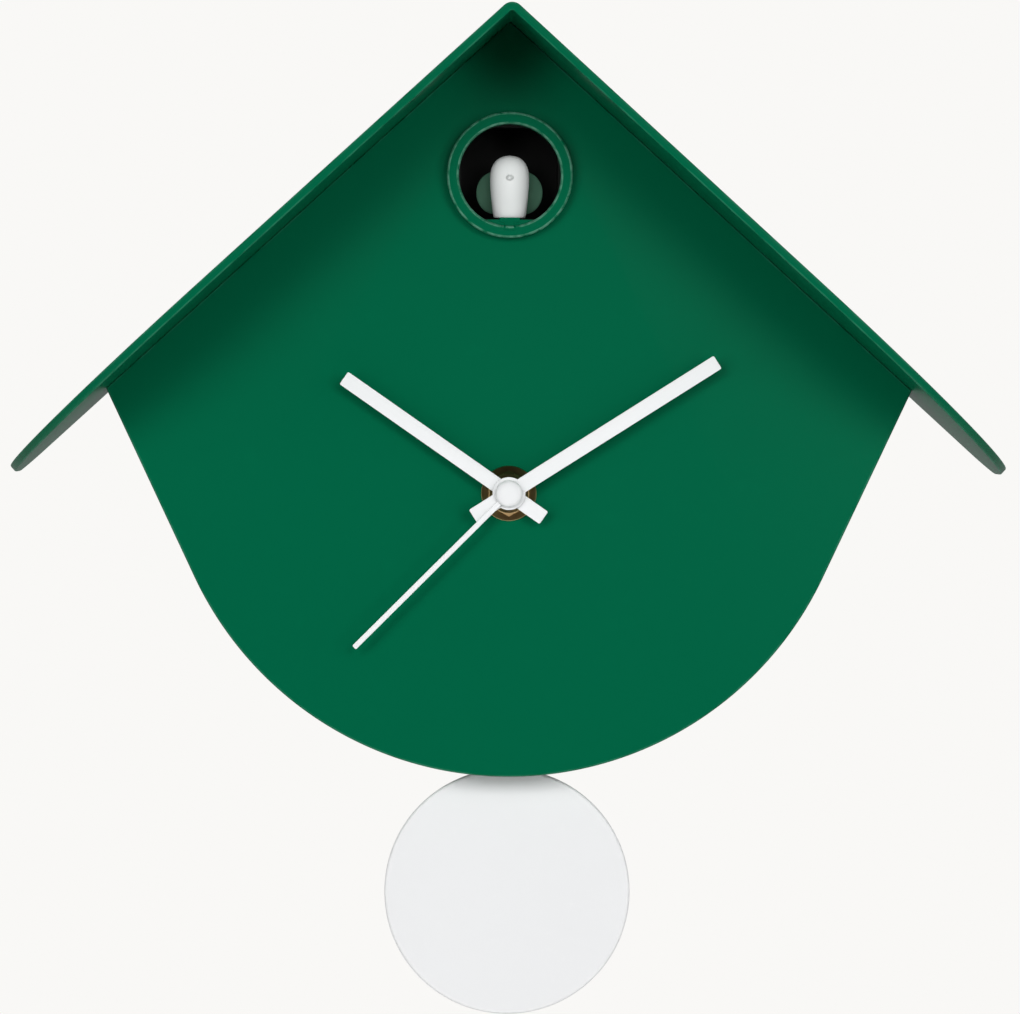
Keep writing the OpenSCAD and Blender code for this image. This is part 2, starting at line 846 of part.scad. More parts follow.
module ear(at) {
    difference() {
        block([housing_in, housing_flange_depth - housing_t, at[1] - boss_r],
              [at[0] + boss_r, housing_flange_depth, at[1] + boss_r]);
        bar(at, small_screw_r + 0.1, housing_flange_depth - housing_t - 1, housing_flange_depth + 1);
    }
}

module bird_motor() {
    z = window_z + pinion_z;
    color("silver")
        from_hands()
            difference() {
                union() {
                    block([gearbox_left, pinion_depth - 4.5, z - 5],
                          [gearbox_right, pinion_depth + 4.5, z + 1.2]);
                    bar_x(gearbox_right - eps, motor_right, pinion_depth, z, motor_r);
                    bar_x(motor_right - eps, motor_right + 1.5, pinion_depth, z, 1.6);
                }
                bar_x(gearbox_left - 1, gearbox_left + 3, pinion_depth, z, pin_r + running);
            }
}

module bird_pinion() {
    color("ivory")
        from_hands()
            translate([0, -pinion_depth, window_z + pinion_z]) {
                rotate([90, 0, 90])
                    translate([0, 0, -1.4])
                        linear_extrude(2.8)
                            polygon(gear_points(pinion_teeth, rack_module, 90));
                rotate([0, 90, 0]) translate([0, 0, -4.4]) cylinder(h = 4.4 + gearbox_left + 2.8, r = pin_r);
            }
}

// Rack teeth hang under the carriage. A gap stands over the pinion's top tooth.
module rack_teeth() {
    pitch = PI * rack_module;
    root_z = carriage_bottom - rack_pitch_z;
    slope = tan(20);
    half = pitch / 4 * (1 - tooth_slack);
    first = ceil((carriage_back + 1 - pinion_depth) / pitch);
    last = floor((face_back - 1 - pinion_depth) / pitch);
    for (i = [first : last - 1])
        translate([rack_w / 2, -(pinion_depth + (i + 0.5) * pitch), window_z + rack_pitch_z])
            rotate([90, 0, -90])
                linear_extrude(rack_w)
                    polygon([
                        [-half - slope * root_z, root_z + eps],
                        [half + slope * root_z, root_z + eps],
                        [half - slope * rack_tip * 0.8, -rack_tip * 0.8],
                        [-half + slope * rack_tip * 0.8, -rack_tip * 0.8]
                    ]);
}

module bird_carriage() {
    color("green")
        from_hands() {
            block([-carriage_w / 2, carriage_back, window_z + carriage_bottom],
                  [carriage_w / 2, carriage_front, window_z + carriage_top]);
            // solid nose in front of the rack
            block([-rack_w / 2, face_back - 1, window_z + rack_pitch_z - rack_tip],
                  [rack_w / 2, carriage_front, window_z + carriage_bottom + eps]);
            rack_teeth();
        }
}

// The bird's body is turned: a narrow foot, a round belly and a domed head.
module bird_body() {
    foot_z = window_z - floor_drop + bird_lift;
    head_z = bird_h - bird_r;
    dome_steps = 8;
    color("white")
        from_hands()
            translate([0, -bird_depth, foot_z]) {
                rotate_extrude()
                    polygon([
                        [0, 0], [bird_foot_r, 0], [bird_foot_r + 0.5, 1.4], [bird_r, 6],
                        for (i = [0 : dome_steps])
                            let (a = 90 * i / dome_steps)
                            [bird_r * cos(a), head_z + bird_r * sin(a)]
                    ]);
                translate([0, -bird_r + 0.6, head_z - 0.5])
                    rotate([90, 0, 0]) cylinder(h = 2.2, r1 = 1.3, r2 = 0.5);
            }
}

module bird_wings() {
    foot_z = window_z - floor_drop + bird_lift;
    wing_depth = bird_depth - 4.2;
    color("white")
        from_hands()
            both_sides()
                hull() {
                    translate([4, -wing_depth, foot_z + 12]) sphere(r = 1.8, $fn = 20);
                    translate([8.4, -wing_depth + 1, foot_z + 6.5]) sphere(r = 1.6, $fn = 20);
                    translate([4.6, -wing_depth + 0.5, foot_z + 3]) sphere(r = 1.6, $fn = 20);
                }
}

// ---------------------------------------------------------------- movement

module shell_outline(inset) {
    half = movement_side / 2 - inset;
    r = shell_corner_r;
    difference() {
        square(2 * half, center = true);
        for (a = [0 : 90 : 270])
            rotate(a) translate([half - r, half - r]) corner_waste(r);
    }
}

// A bearing post with a blind hole for a pivot, open towards the train.
module front_bearing(at, tip, pivot_r) {
    difference() {
        bar(at, bearing_r, tip, movement_front_depth - shell_t + eps);
        bar(at, pivot_r + running, tip - 1, tip + 1.5);
    }
}

module rear_bearing(at, tip, pivot_r) {
    difference() {
        bar(at, bearing_r, rear_plate - eps, tip);
        bar(at, pivot_r + running, tip - 1.5, tip + 1);
    }
}

third_front_tip = layer_front(centre_layer) + 0.6;
inter_front_tip = layer_front(seconds_layer) + 0.6;
rotor_front_tip = magnet_front + 0.5;
third_rear_tip = layer_back(seconds_layer) - 0.4;
low_rear_tip = layer_back(rotor_layer) - 0.4;
pivot_len = 1.2;

module movement_front_shell() {
    plate_back = movement_front_depth - shell_t;
    split = movement_front_depth - movement_split;
    color([0.1, 0.1, 0.1])
        from_hands() {
            difference() {
                slab(split, movement_front_depth) shell_outline(0);
                slab(split - 1, plate_back) shell_outline(shell_t);
                bar(hands_at, bushing_r, plate_back - 1, movement_front_depth + 1);
                bar(hands_at, bushing_flange_r, plate_back - 1, plate_back + bushing_flange_t);
                bar(minute_at, arbor_r + running, plate_back - 1, plate_back + 1.1);
            }
            front_bearing(third_at, third_front_tip, arbor_r);
            front_bearing(inter_at, inter_front_tip, arbor_r);
            front_bearing(rotor_at, rotor_front_tip, arbor_r);
        }
}

module movement_rear_shell() {
    split = movement_front_depth - movement_split;
    color([0.1, 0.1, 0.1])
        from_hands() {
            difference() {
                slab(movement_back_depth, split) shell_outline(0);
                slab(rear_plate, split + 1) shell_outline(shell_t);
                bar(minute_at, stem_r + running, movement_back_depth - 1, rear_plate + 1);
            }
            rear_bearing(third_at, third_rear_tip, arbor_r);
            rear_bearing(hands_at, third_rear_tip, second_arbor_r);
            rear_bearing(inter_at, low_rear_tip, arbor_r);
            rear_bearing(rotor_at, low_rear_tip, arbor_r);
        }
}

module rubber_gasket() {
    color([0.15, 0.15, 0.15])
        from_hands() tube(hands_at, washer_r + 1, bushing_r, movement_front_depth, face_back);
}

bushing_flange_r = bushing_r + 1.6;
bushing_flange_t = 1;
module threaded_bushing() {
    flange_back = movement_front_depth - shell_t;
    color("goldenrod")
        from_hands()
            difference() {
                union() {
                    bar(hands_at, bushing_r, flange_back, bushing_front);
                    bar(hands_at, bushing_flange_r, flange_back, flange_back + bushing_flange_t);
                }
                bar(hands_at, bushing_bore, flange_back - 1, bushing_front + 1);
            }
}

module brass_washer() {
    color("goldenrod")
        from_hands() tube(hands_at, washer_r, bushing_r + 0.1, case_depth, case_depth + washer_t);
}

module hex_nut() {
    color("darkgoldenrod")
        from_hands()
            difference() {
                slab(case_depth + washer_t, nut_front)
                    rotate(30) circle(r = nut_flats / 2 / cos(30), $fn = 6);
                bar(hands_at, bushing_r, case_depth, nut_front + 1);
            }
}

module stator() {
    back = stator_front - stator_t;
    left = rotor_at[0];
    right = coil_right + 4;
    low = rotor_at[1] - 6;
    core_half = 1.2;
    color("silver")
        from_hands()
            difference() {
                union() {
                    bar(rotor_at, stator_hole_r + 2, back, stator_front);
                    block([left, back, low], [right, stator_front, low + 2.2]);
                    block([right - 3, back, low], [right, stator_front, core_height + core_half]);
                    block([left, back, core_height - core_half],
                          [right, stator_front, core_height + core_half]);
                }
                bar(rotor_at, stator_hole_r, back - 1, stator_front + 1);
            }
}

bobbin_core_r = 2.2;
module coil_bobbin() {
    middle = stator_front - stator_t / 2;
    color("ivory")
        from_hands()
            difference() {
                union() {
                    bar_x(coil_left, coil_right, middle, core_height, bobbin_core_r);
                    for (x = [coil_left, coil_right - 1])
                        bar_x(x, x + 1, middle, core_height, coil_r + 0.5);
                }
                block([coil_left - 1, stator_front - stator_t, core_height - 1.2],
                      [coil_right + 1, stator_front, core_height + 1.2]);
            }
}

module coil_winding() {
    middle = stator_front - stator_t / 2;
    color("orangered")
        from_hands()
            difference() {
                bar_x(coil_left + 1, coil_right - 1, middle, core_height, coil_r);
                bar_x(coil_left, coil_right, middle, core_height, bobbin_core_r);
            }
}

module clock_board() {
    color("darkolivegreen")
        from_hands()
            block([clock_board_low[0], board_front - board_t, clock_board_low[1]],
                  [clock_board_high[0], board_front, clock_board_high[1]]);
}

module quartz_crystal() {
    base_h = 0.6;
    color("silver")
        from_hands()
            translate([crystal_at[0], -board_front - crystal_base_r, crystal_at[1]]) {
                cylinder(h = crystal_len, r = crystal_r);
                translate([0, 0, -base_h]) cylinder(h = base_h, r = crystal_base_r);
            }
}

module chip(corners, back) {
    block([corners[0][0], back, corners[0][1]], [corners[1][0], back + chip_t, corners[1][1]]);
}

module circuit_chips() {
    color([0.05, 0.05, 0.05])
        from_hands() {
            chip(clock_chip, board_front);
            for (corners = sound_chips) chip(corners, sound_board_depth + sound_board_t);
        }
}

module rotor_pinion() {
    color("ivory")
        from_hands() {
            gear(rotor_at, rotor_leaves, rotor_module, rotor_phase, rotor_layer);
            bar(rotor_at, arbor_r, low_rear_tip - pivot_len, rotor_front_tip + pivot_len);
        }
}

module rotor_magnet() {
    color([0.3, 0.3, 0.32])
        from_hands() tube(rotor_at, magnet_r, arbor_r, magnet_front - magnet_t, magnet_front);
}

module intermediate_wheel() {
    color("ivory")
        from_hands() {
            difference() {
                gear(inter_at, inter_teeth, rotor_module, 0, rotor_layer);
                wheel_windows(inter_at, 2.6, 6.8, 5, rotor_layer);
            }
            gear(inter_at, inter_leaves, seconds_module, inter_leaf_phase, seconds_layer);
            bar(inter_at, arbor_r, low_rear_tip - pivot_len, inter_front_tip + pivot_len);
            bar(inter_at, 1, layer_front(rotor_layer) - eps, layer_back(seconds_layer) + eps);
        }
}

module seconds_wheel() {
    color("ivory")
        from_hands() {
            difference() {
                gear(hands_at, seconds_teeth, seconds_module, 0, seconds_layer);
                wheel_windows(hands_at, 3, 8.6, 5, seconds_layer);
            }
            gear(hands_at, seconds_leaves, third_module, 0, third_layer);
            bar(hands_at, 0.9, layer_front(seconds_layer) - eps, layer_back(third_layer) + eps);
            bar(hands_at, second_arbor_r, third_rear_tip - pivot_len, second_back + second_t);
        }
}

module third_wheel() {
    color("ivory")
        from_hands() {
            difference() {
                gear(third_at, third_teeth, third_module, third_phase, third_layer);
                wheel_windows(third_at, 2.4, 8.2, 5, third_layer);
            }
            gear(third_at, third_leaves, centre_module, 0, centre_layer);
            bar(third_at, 0.9, layer_front(third_layer) - eps, layer_back(centre_layer) + eps);
            bar(third_at, arbor_r, third_rear_tip - pivot_len, third_front_tip + pivot_len);
        }
}

clutch_back = layer_back(centre_layer) - 0.7;
module centre_wheel() {
    color("gold")
        from_hands()
            difference() {
                gear(hands_at, centre_teeth, centre_module, centre_phase, centre_layer);
                wheel_windows(hands_at, 3.4, 8.8, 4, centre_layer);
                bar(hands_at, minute_pipe_r + running,
                    layer_back(centre_layer) - 1, layer_front(centre_layer) + 1);
            }
}

module minute_pipe() {
    color("gold")
        from_hands()
            difference() {
                union() {
                    gear(hands_at, cannon_leaves, minute_module, 0, minute_layer);
                    bar(hands_at, minute_pipe_r, clutch_back, minute_back + hand_t);
                }
                bar(hands_at, minute_pipe_bore, clutch_back - 1, minute_back + hand_t + 1);
            }
}

module clutch_washer() {
    color("silver")
        from_hands() tube(hands_at, 2.6, minute_pipe_r, clutch_back, clutch_back + 0.4);
}

module minute_wheel() {
    plate_back = movement_front_depth - shell_t;
    stem_front = layer_back(rotor_layer) + 0.4;
    color("ivory")
        from_hands() {
            difference() {
                gear(minute_at, minute_teeth, minute_module, minute_phase, minute_layer);
                wheel_windows(minute_at, 3, 7.4, 5, minute_layer);
            }
            gear(minute_at, minute_leaves, hour_module, 0, hour_layer);
            bar(minute_at, 1, layer_front(minute_layer) - eps, layer_back(hour_layer) + eps);
            bar(minute_at, arbor_r, stem_front - eps, plate_back + 0.9);
            bar(minute_at, stem_r, knob_front, stem_front);
        }
}

module set_knob() {
    ribs = 24;
    rib_r = 0.4;
    color([0.15, 0.15, 0.15])
        from_hands()
            difference() {
                bar(minute_at, knob_r, knob_back, knob_front);
                for (i = [0 : ribs - 1])
                    bar(minute_at + polar(i * 360 / ribs, knob_r + 0.1), rib_r,
                        knob_back - 1, knob_front + 1);
                tube(minute_at, knob_r - 1.5, knob_r - 3, knob_back - 1, knob_back + 0.6);
            }
}

module hour_wheel() {
    color("ivory")
        from_hands()
            difference() {
                union() {
                    gear(hands_at, hour_teeth, hour_module, hour_phase, hour_layer);
                    bar(hands_at, hour_pipe_r, layer_back(hour_layer), hour_back + hand_t);
                }
                bar(hands_at, hour_pipe_bore, layer_back(hour_layer) - 1, hour_back + hand_t + 1);
                wheel_windows(hands_at, 3.6, 8, 5, hour_layer);
            }
}

// ---------------------------------------------------------------- hands

// A straight hand with slightly rounded corners, pointing up before it is turned.
module hand(angle, reach, tail, w, hub_r, bore, back, thick) {
    corner_r = min(0.5, w / 4);
    rotate([0, angle, 0])
        slab(back, back + thick)
            difference() {
                union() {
                    difference() {
                        translate([-w / 2, -tail]) square([w, reach + tail]);
                        for (x = [-1, 1])
                            for (end = [[reach, 1], [-tail, -1]])
                                translate([x * (w / 2 - corner_r), end[0] - end[1] * corner_r])
                                    scale([x, end[1]]) corner_waste(corner_r);
                    }
                    circle(r = hub_r);
                }
                circle(r = bore);
            }
}

module hour_hand() {
    color("white")
        from_hands()
            hand(hour_angle, hour_len, hand_tail, hand_w, hand_hub_r, hour_pipe_r, hour_back, hand_t);
}

module minute_hand() {
    color("white")
        from_hands()
            hand(minute_angle, minute_len, hand_tail, hand_w, hand_hub_r, minute_pipe_r, minute_back, hand_t);
}

module second_hand() {
    color("white")
        from_hands() hand(second_angle, second_len, 1, second_w, 2.4, second_arbor_r, second_back, second_t);
}

module centre_cap() {
    cap_back = second_back + second_t;
    dome_h = cap_h - 0.6;
    dome_r = (cap_r * cap_r + dome_h * dome_h) / (2 * dome_h);
    color("white")
        from_hands() {
            bar(hands_at, cap_r, cap_back, cap_back + 0.6);
            intersection() {
                bar(hands_at, cap_r, cap_back + 0.6 - eps, cap_back + cap_h + 1);
                translate([0, -(cap_back + cap_h - dome_r), 0]) sphere(r = dome_r);
            }
        }
}

// ---------------------------------------------------------------- power and sound

tray_ear_half = 3.5;
module battery_tray() {
    color([0.12, 0.12, 0.12])
        from_hands() {
            difference() {
                block([tray_left, cover_t + 1.5, -tray_half], [tray_right, tray_floor + tray_t, tray_half]);
                block([tray_left + tray_t, cover_t, -tray_half + tray_t],
                      [tray_right - tray_t, tray_floor, tray_half - tray_t]);
            }
            // ears for the screws
            for (x = tray_screw_x)
                difference() {
                    block([x - tray_ear_half, tray_post_depth, tray_screw_z - tray_ear_half],
                          [x + tray_ear_half, tray_post_depth + tray_ear_t, -tray_half + eps]);
                    bar([x, tray_screw_z], small_screw_r + 0.1, cover_t, tray_post_depth + tray_ear_t + 1);
                }
        }
}

// Cells lie along X; every second one is turned round.
module at_cells() {
    for (i = [-1 : 1])
        translate([(tray_left + tray_right) / 2, -(tray_floor - cell_r - 0.3), i * cell_step])
            rotate([0, i == 0 ? -90 : 90, 0]) children();
}

cell_nub = 1;
module battery_cells() {
    body = cell_len - cell_nub;
    from = -(cell_len + spring_len) / 2 + spring_len;
    color("olive")
        from_hands()
            at_cells() {
                translate([0, 0, from]) cylinder(h = body, r = cell_r);
                translate([0, 0, from + body - eps]) cylinder(h = cell_nub + eps, r = 2.7);
            }
}

module battery_springs() {
    from = -(cell_len + spring_len) / 2;
    rings = 3;
    wire_r = 0.35;
    step = (spring_len - 2 * wire_r) / (rings - 1);
    color("silver")
        from_hands()
            at_cells()
                for (i = [0 : rings - 1])
                    translate([0, 0, from + wire_r + i * step])
                        rotate_extrude() translate([4 - 0.9 * i, 0]) circle(r = wire_r, $fn = 16);
}

module battery_plates() {
    from = (cell_len + spring_len) / 2;
    plate_t = 0.25;
    color("silver")
        from_hands()
            at_cells() {
                translate([-5, -5, from]) cube([10, 10, plate_t]);
                translate([-5, -5, -from - plate_t]) cube([10, 10, plate_t]);
            }
}

module battery_door() {
    gap = touch;
    low = -door_half + gap;
    left = door_left + gap;
    right = door_right - gap;
    outer = 0.1;
    color("dimgray")
        from_hands() {
            difference() {
                union() {
                    block([left, outer, low], [right, outer + door_t, hinge_z]);
                    bar_x(left, right, hinge_depth, hinge_z, knuckle_r);
                }
                // thumb dimples near the free edge
                for (i = [0 : 2])
                    block([(left + right) / 2 - 7, outer - 1, low + 5 + i * 2.4],
                          [(left + right) / 2 + 7, outer + 0.5, low + 6.2 + i * 2.4]);
            }
            bar_x(left - hinge_pin_len + 0.3, right + hinge_pin_len - 0.3, hinge_depth, hinge_z, hinge_pin_r);
        }
}

speaker_depth = 10;
speaker_cone_r = speaker_r - 2.5;
speaker_lip_r = speaker_cone_r - 2;
speaker_lip_t = 0.6;
magnet_block_r = speaker_r * 0.48;
module speaker_frame() {
    back = cover_t;
    lip = back + speaker_lip_t;
    top = back + speaker_depth;
    color("gray")
        from_hands()
            difference() {
                turned(speaker_at)
                    polygon([
                        [speaker_lip_r, back], [speaker_r, back], [speaker_r, back + speaker_flange_t],
                        [speaker_cone_r + 0.8, back + speaker_flange_t + 0.2],
                        [magnet_block_r + 0.8, top - 0.8], [magnet_block_r + 0.8, top],
                        [4, top], [4, top - 1], [magnet_block_r, top - 1],
                        [speaker_cone_r, lip + 0.6], [speaker_cone_r, lip], [speaker_lip_r, lip]
                    ]);
                // windows in the basket
                for (a = [45 : 90 : 315])
                    translate([speaker_at[0], 0, speaker_at[1]])
                        rotate([0, a, 0])
                            block([-3.5, back + 3.6, speaker_r * 0.5], [3.5, back + 7.6, speaker_r * 0.9]);
            }
}

module speaker_cone() {
    lip = cover_t + speaker_lip_t;
    color([0.1, 0.1, 0.1])
        from_hands()
            turned(speaker_at)
                polygon([
                    [speaker_lip_r + 0.3, lip], [speaker_cone_r - 0.3, lip],
                    [speaker_cone_r - 0.3, lip + 0.5], [speaker_lip_r, lip + 0.5],
                    [5, lip + 5.9], [0, lip + 4.3], [0, lip + 3.9], [4.8, lip + 5.3]
                ]);
}

module speaker_magnet() {
    from = cover_t + speaker_depth;
    color([0.25, 0.25, 0.27])
        from_hands() {
            bar(speaker_at, magnet_block_r, from, from + 5);
            bar(speaker_at, magnet_block_r - 1.5, from + 5 - eps, from + 6.2);
            bar(speaker_at, 3.4, from - 3, from + eps);
        }
}

module sound_board() {
    color("darkolivegreen")
        from_hands()
            difference() {
                block([board_left, sound_board_depth, board_low],
                      [board_right, sound_board_depth + sound_board_t, board_high]);
                for (x = board_screw_x)
                    bar([x, board_screw_z], small_screw_r + 0.1, 0, sound_board_depth + 5);
            }
}

module switch_body() {
    color("silver")
        from_hands()
            difference() {
                block([switch_at[0] - switch_half_w, cover_t + 0.3, switch_at[1] - switch_half_h],
                      [switch_at[0] + switch_half_w, sound_board_depth, switch_at[1] + switch_half_h]);
                block([switch_at[0] - switch_travel - 2.2, cover_t, switch_at[1] - 1.6],
                      [switch_at[0] + switch_travel + 2.2, cover_t + 2.4, switch_at[1] + 1.6]);
            }
}

module switch_slider() {
    color("black")
        from_hands()
            block([switch_at[0] - 1.8, 0.3, switch_at[1] - 1.4],
                  [switch_at[0] + 1.8, cover_t + 2.1, switch_at[1] + 1.4]);
}

module internal_leads() {
    color("firebrick")
        from_hands()
            for (i = [0, 1]) {
                lead(battery_lead, [0, 0, i * lead_gap]);
                lead(speaker_lead, [i * lead_gap, 0, 0]);
                lead(motor_lead, [0, 0, i * lead_gap]);
            }
}

// ---------------------------------------------------------------- pendulum

pivot_at = [0, -pivot_drop];
module pendulum_bracket() {
    half = 19;
    color([0.12, 0.12, 0.12])
        from_hands()
            difference() {
                union() {
                    // front plate with the coil's seat
                    block([-half, coil_front, -drive_drop - 12], [half, bracket_front, pivot_at[1] + 6]);
                    // top block and rear cheek
                    block([-6, bracket_back, pivot_at[1] + 3], [6, bracket_front, pivot_at[1] + 6]);
                    block([-4, bracket_back, pivot_at[1] - 4],
                          [4, bracket_back + bracket_t, pivot_at[1] + 6]);
                }
                bar(pivot_at, pin_r, bracket_back - 1, bracket_front - 0.4);
                for (x = [-bracket_screw_x, bracket_screw_x])
                    bar([x, bracket_screw_z], small_screw_r + 0.1, coil_front - 1, bracket_front + 1);
            }
}

module pendulum_pin() {
    color("silver")
        from_hands() bar(pivot_at, pin_r, bracket_back, bracket_front - 0.4);
}

module pendulum_coil() {
    at = [0, -drive_drop];
    color("orangered")
        from_hands() tube(at, drive_coil_r, 2.4, coil_front - drive_coil_t, coil_front);
}

hanger_magnet_r = 4;
module pendulum_hanger() {
    back = hanger_front - hanger_t;
    color("ivory")
        from_hands()
            difference() {
                union() {
                    block([-hanger_w / 2, back, pivot_at[1] - hanger_len],
                          [hanger_w / 2, hanger_front, pivot_at[1]]);
                    bar(pivot_at, hanger_w / 2, back, hanger_front);
                    bar(pivot_at, 1.8, bracket_back + bracket_t + touch, bracket_front - bracket_t - touch);
                    bar([0, -drive_drop], hanger_magnet_r + 1, back, hanger_front);
                    // stud that the rod hooks on, with a head that keeps it on
                    bar([0, -stud_drop], stud_r, rod_depth - 1.6, back + eps);
                    bar([0, -stud_drop], stud_r + 0.7, rod_depth - 2.3, rod_depth - 1.6);
                }
                bar(pivot_at, pin_r + running, bracket_back, bracket_front);
            }
}

module pendulum_magnet() {
    color([0.6, 0.6, 0.62])
        from_hands() bar([0, -drive_drop], hanger_magnet_r, hanger_front, hanger_front + 2);
}

hook_ring_r = stud_r + rod_r + 0.1;
rod_end_drop = disc_drop + 6;
module pendulum_rod() {
    ring_drop = stud_drop + 0.1;
    color("silver")
        from_hands() {
            translate([0, -rod_depth, -ring_drop])
                rotate([90, 0, 0]) rotate_extrude() translate([hook_ring_r, 0]) circle(r = rod_r, $fn = 48);
            translate([0, -rod_depth, -rod_end_drop])
                cylinder(h = rod_end_drop - ring_drop - hook_ring_r, r = rod_r);
        }
}

clip_half = 4;
clip_h = 24;
module pendulum_disc() {
    at = [0, -disc_drop];
    color("white")
        from_hands()
            difference() {
                union() {
                    turned(at)
                        union() {
                            translate([0, disc_back]) square([disc_r - disc_edge_r, disc_t]);
                            translate([0, disc_back + disc_edge_r])
                                square([disc_r, disc_t - 2 * disc_edge_r]);
                            for (d = [disc_back + disc_edge_r, disc_front - disc_edge_r])
                                translate([disc_r - disc_edge_r, d]) circle(r = disc_edge_r);
                        }
                    // clip for the rod on the rear face
                    block([-clip_half, rod_depth - rod_r - 1.2, -disc_drop - clip_h / 2],
                          [clip_half, disc_back + eps, -disc_drop + clip_h / 2]);
                }
                translate([0, -rod_depth, -rod_end_drop]) cylinder(h = disc_r + 30, r = rod_r);
            }
}

roof_shell();
front_case();
window_ring();
back_cover();
cover_screws();
roof_screws();
small_screws();
bird_housing();
bird_motor();
bird_pinion();
bird_carriage();
bird_body();
bird_wings();
movement_front_shell();
movement_rear_shell();
rubber_gasket();
threaded_bushing();
brass_washer();
hex_nut();
stator();
coil_bobbin();
coil_winding();
clock_board();
quartz_crystal();
circuit_chips();
rotor_pinion();
rotor_magnet();
intermediate_wheel();
seconds_wheel();
third_wheel();
centre_wheel();
minute_pipe();
clutch_washer();
minute_wheel();
set_knob();
hour_wheel();
hour_hand();
minute_hand();
second_hand();
centre_cap();
battery_tray();
battery_cells();
battery_springs();
battery_plates();
battery_door();
speaker_frame();
speaker_cone();
speaker_magnet();
sound_board();
switch_body();
switch_slider();
internal_leads();
pendulum_bracket();
pendulum_pin();
pendulum_coil();
pendulum_hanger();
pendulum_magnet();
pendulum_rod();
pendulum_disc();
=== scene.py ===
"""Looks of the wall cuckoo clock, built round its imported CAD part.

The clock hangs on a wall plane at y = 0 and faces -Y. Everything is in metres, in the part's own frame.
A depth is a distance in front of the wall, so a point's y is minus its depth.
"""

import math

import bmesh
import bpy
from mathutils import Matrix, Vector


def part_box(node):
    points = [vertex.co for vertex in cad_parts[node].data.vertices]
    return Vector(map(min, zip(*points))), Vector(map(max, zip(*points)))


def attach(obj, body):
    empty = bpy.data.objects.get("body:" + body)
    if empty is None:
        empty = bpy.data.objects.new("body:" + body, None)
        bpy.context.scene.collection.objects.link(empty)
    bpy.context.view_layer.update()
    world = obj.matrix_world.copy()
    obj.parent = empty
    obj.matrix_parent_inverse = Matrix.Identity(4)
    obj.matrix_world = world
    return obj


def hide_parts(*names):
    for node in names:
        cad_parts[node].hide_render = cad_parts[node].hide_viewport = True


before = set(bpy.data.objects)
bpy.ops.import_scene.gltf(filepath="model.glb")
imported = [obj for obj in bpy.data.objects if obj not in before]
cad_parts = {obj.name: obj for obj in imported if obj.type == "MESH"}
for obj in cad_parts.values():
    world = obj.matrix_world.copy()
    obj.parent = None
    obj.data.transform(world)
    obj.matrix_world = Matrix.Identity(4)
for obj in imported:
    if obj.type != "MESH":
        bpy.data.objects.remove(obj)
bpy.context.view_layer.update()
scene = bpy.context.scene

MM = 0.001


def rad(degrees):
    return math.radians(degrees)


# ---------------------------------------------------------------- driving dimensions

def middle(node):
    """Centre of a CAD node's box."""
    low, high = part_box(node)
    return (low + high) / 2


def depths(node):
    """Rear and front depth of a CAD node."""
    low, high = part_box(node)
    return -high.y, -low.y


AXIS = middle("hex_nut")                        # the hands turn about this line, along Y
HANDS_Z = AXIS.z

# Roof
ROOF_LOW, ROOF_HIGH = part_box("roof_shell")
ROOF_HALF = ROOF_HIGH.x
ROOF_DEPTH = -ROOF_LOW.y
ROOF_PITCH = rad(42.4)
ROOF_T = 2.5 * MM
RIDGE_R = 3.5 * MM
RIDGE_Z = ROOF_HIGH.z + RIDGE_R * (1 / math.cos(ROOF_PITCH) - 1)
EAVE_FRONT_R = 80 * MM
EAVE_REAR_R = 10 * MM
BOSS_DOWN_SLOPE = (72 * MM, 128 * MM)

# Case
CASE_DEPTH = depths("front_case")[1]
CASE_T = 2 * MM
CASE_R = 103.9 * MM
CASE_CENTRE_Z = HANDS_Z + 19 * MM
SIDE_LEAN = rad(25.2)
CEILING_Z = RIDGE_Z - ROOF_T / math.cos(ROOF_PITCH)
POST_SPOTS = ((66, 60), (97, 3), (50, -58))
HOUSING_BOSS_SPOTS = ((20, 85), (20, 99))
BRACKET_BOSS = (15, -49)
SLOT_HALF = 21 * MM

# Window ring, its floor, and the bird's slide
WINDOW_Z = HANDS_Z + 95 * MM
WINDOW_R = 15.2 * MM
RING_R = 18.8 * MM
SPIGOT_R = 17 * MM
RING_FRONT = depths("window_ring")[1]
RING_EDGE = 0.7 * MM
FLOOR_SETBACK = 1.8 * MM
FLOOR_Z = WINDOW_Z - 13.3 * MM
SLIDE_T = 1.4 * MM
SLIDE_GAP = 0.05 * MM
RACK_HALF = 1.5 * MM

# Hands
HAND_W = 4.5 * MM
HUB_R = 4.9 * MM
HAND_TAIL = 12.7 * MM


# ---------------------------------------------------------------- shader node groups

def group(name, inputs, outputs):
    """A shader node group with float or vector sockets. Returns the tree with its input and output nodes."""
    tree = bpy.data.node_groups.new(name, "ShaderNodeTree")
    for label, kind, value in inputs:
        socket = tree.interface.new_socket(label, in_out="INPUT", socket_type=kind)
        socket.default_value = value
    for label, kind in outputs:
        tree.interface.new_socket(label, in_out="OUTPUT", socket_type=kind)
    source = tree.nodes.new("NodeGroupInput")
    sink = tree.nodes.new("NodeGroupOutput")
    return tree, source, sink


def add(tree, kind, values=None, **settings):
    """Adds a node, sets its properties, and sets its input sockets by name or number."""
    made = tree.nodes.new(kind)
    for key, value in settings.items():
        setattr(made, key, value)
    for key, value in (values or {}).items():
        made.inputs[key].default_value = value
    return made


FLOAT = "NodeSocketFloat"
VECTOR = "NodeSocketVector"
EDGE_WEAR_AND_HIGHLIGHT = "wear_and_highlight"                                   # the mesh attribute that marks rounded edges for wear and a painted highlight
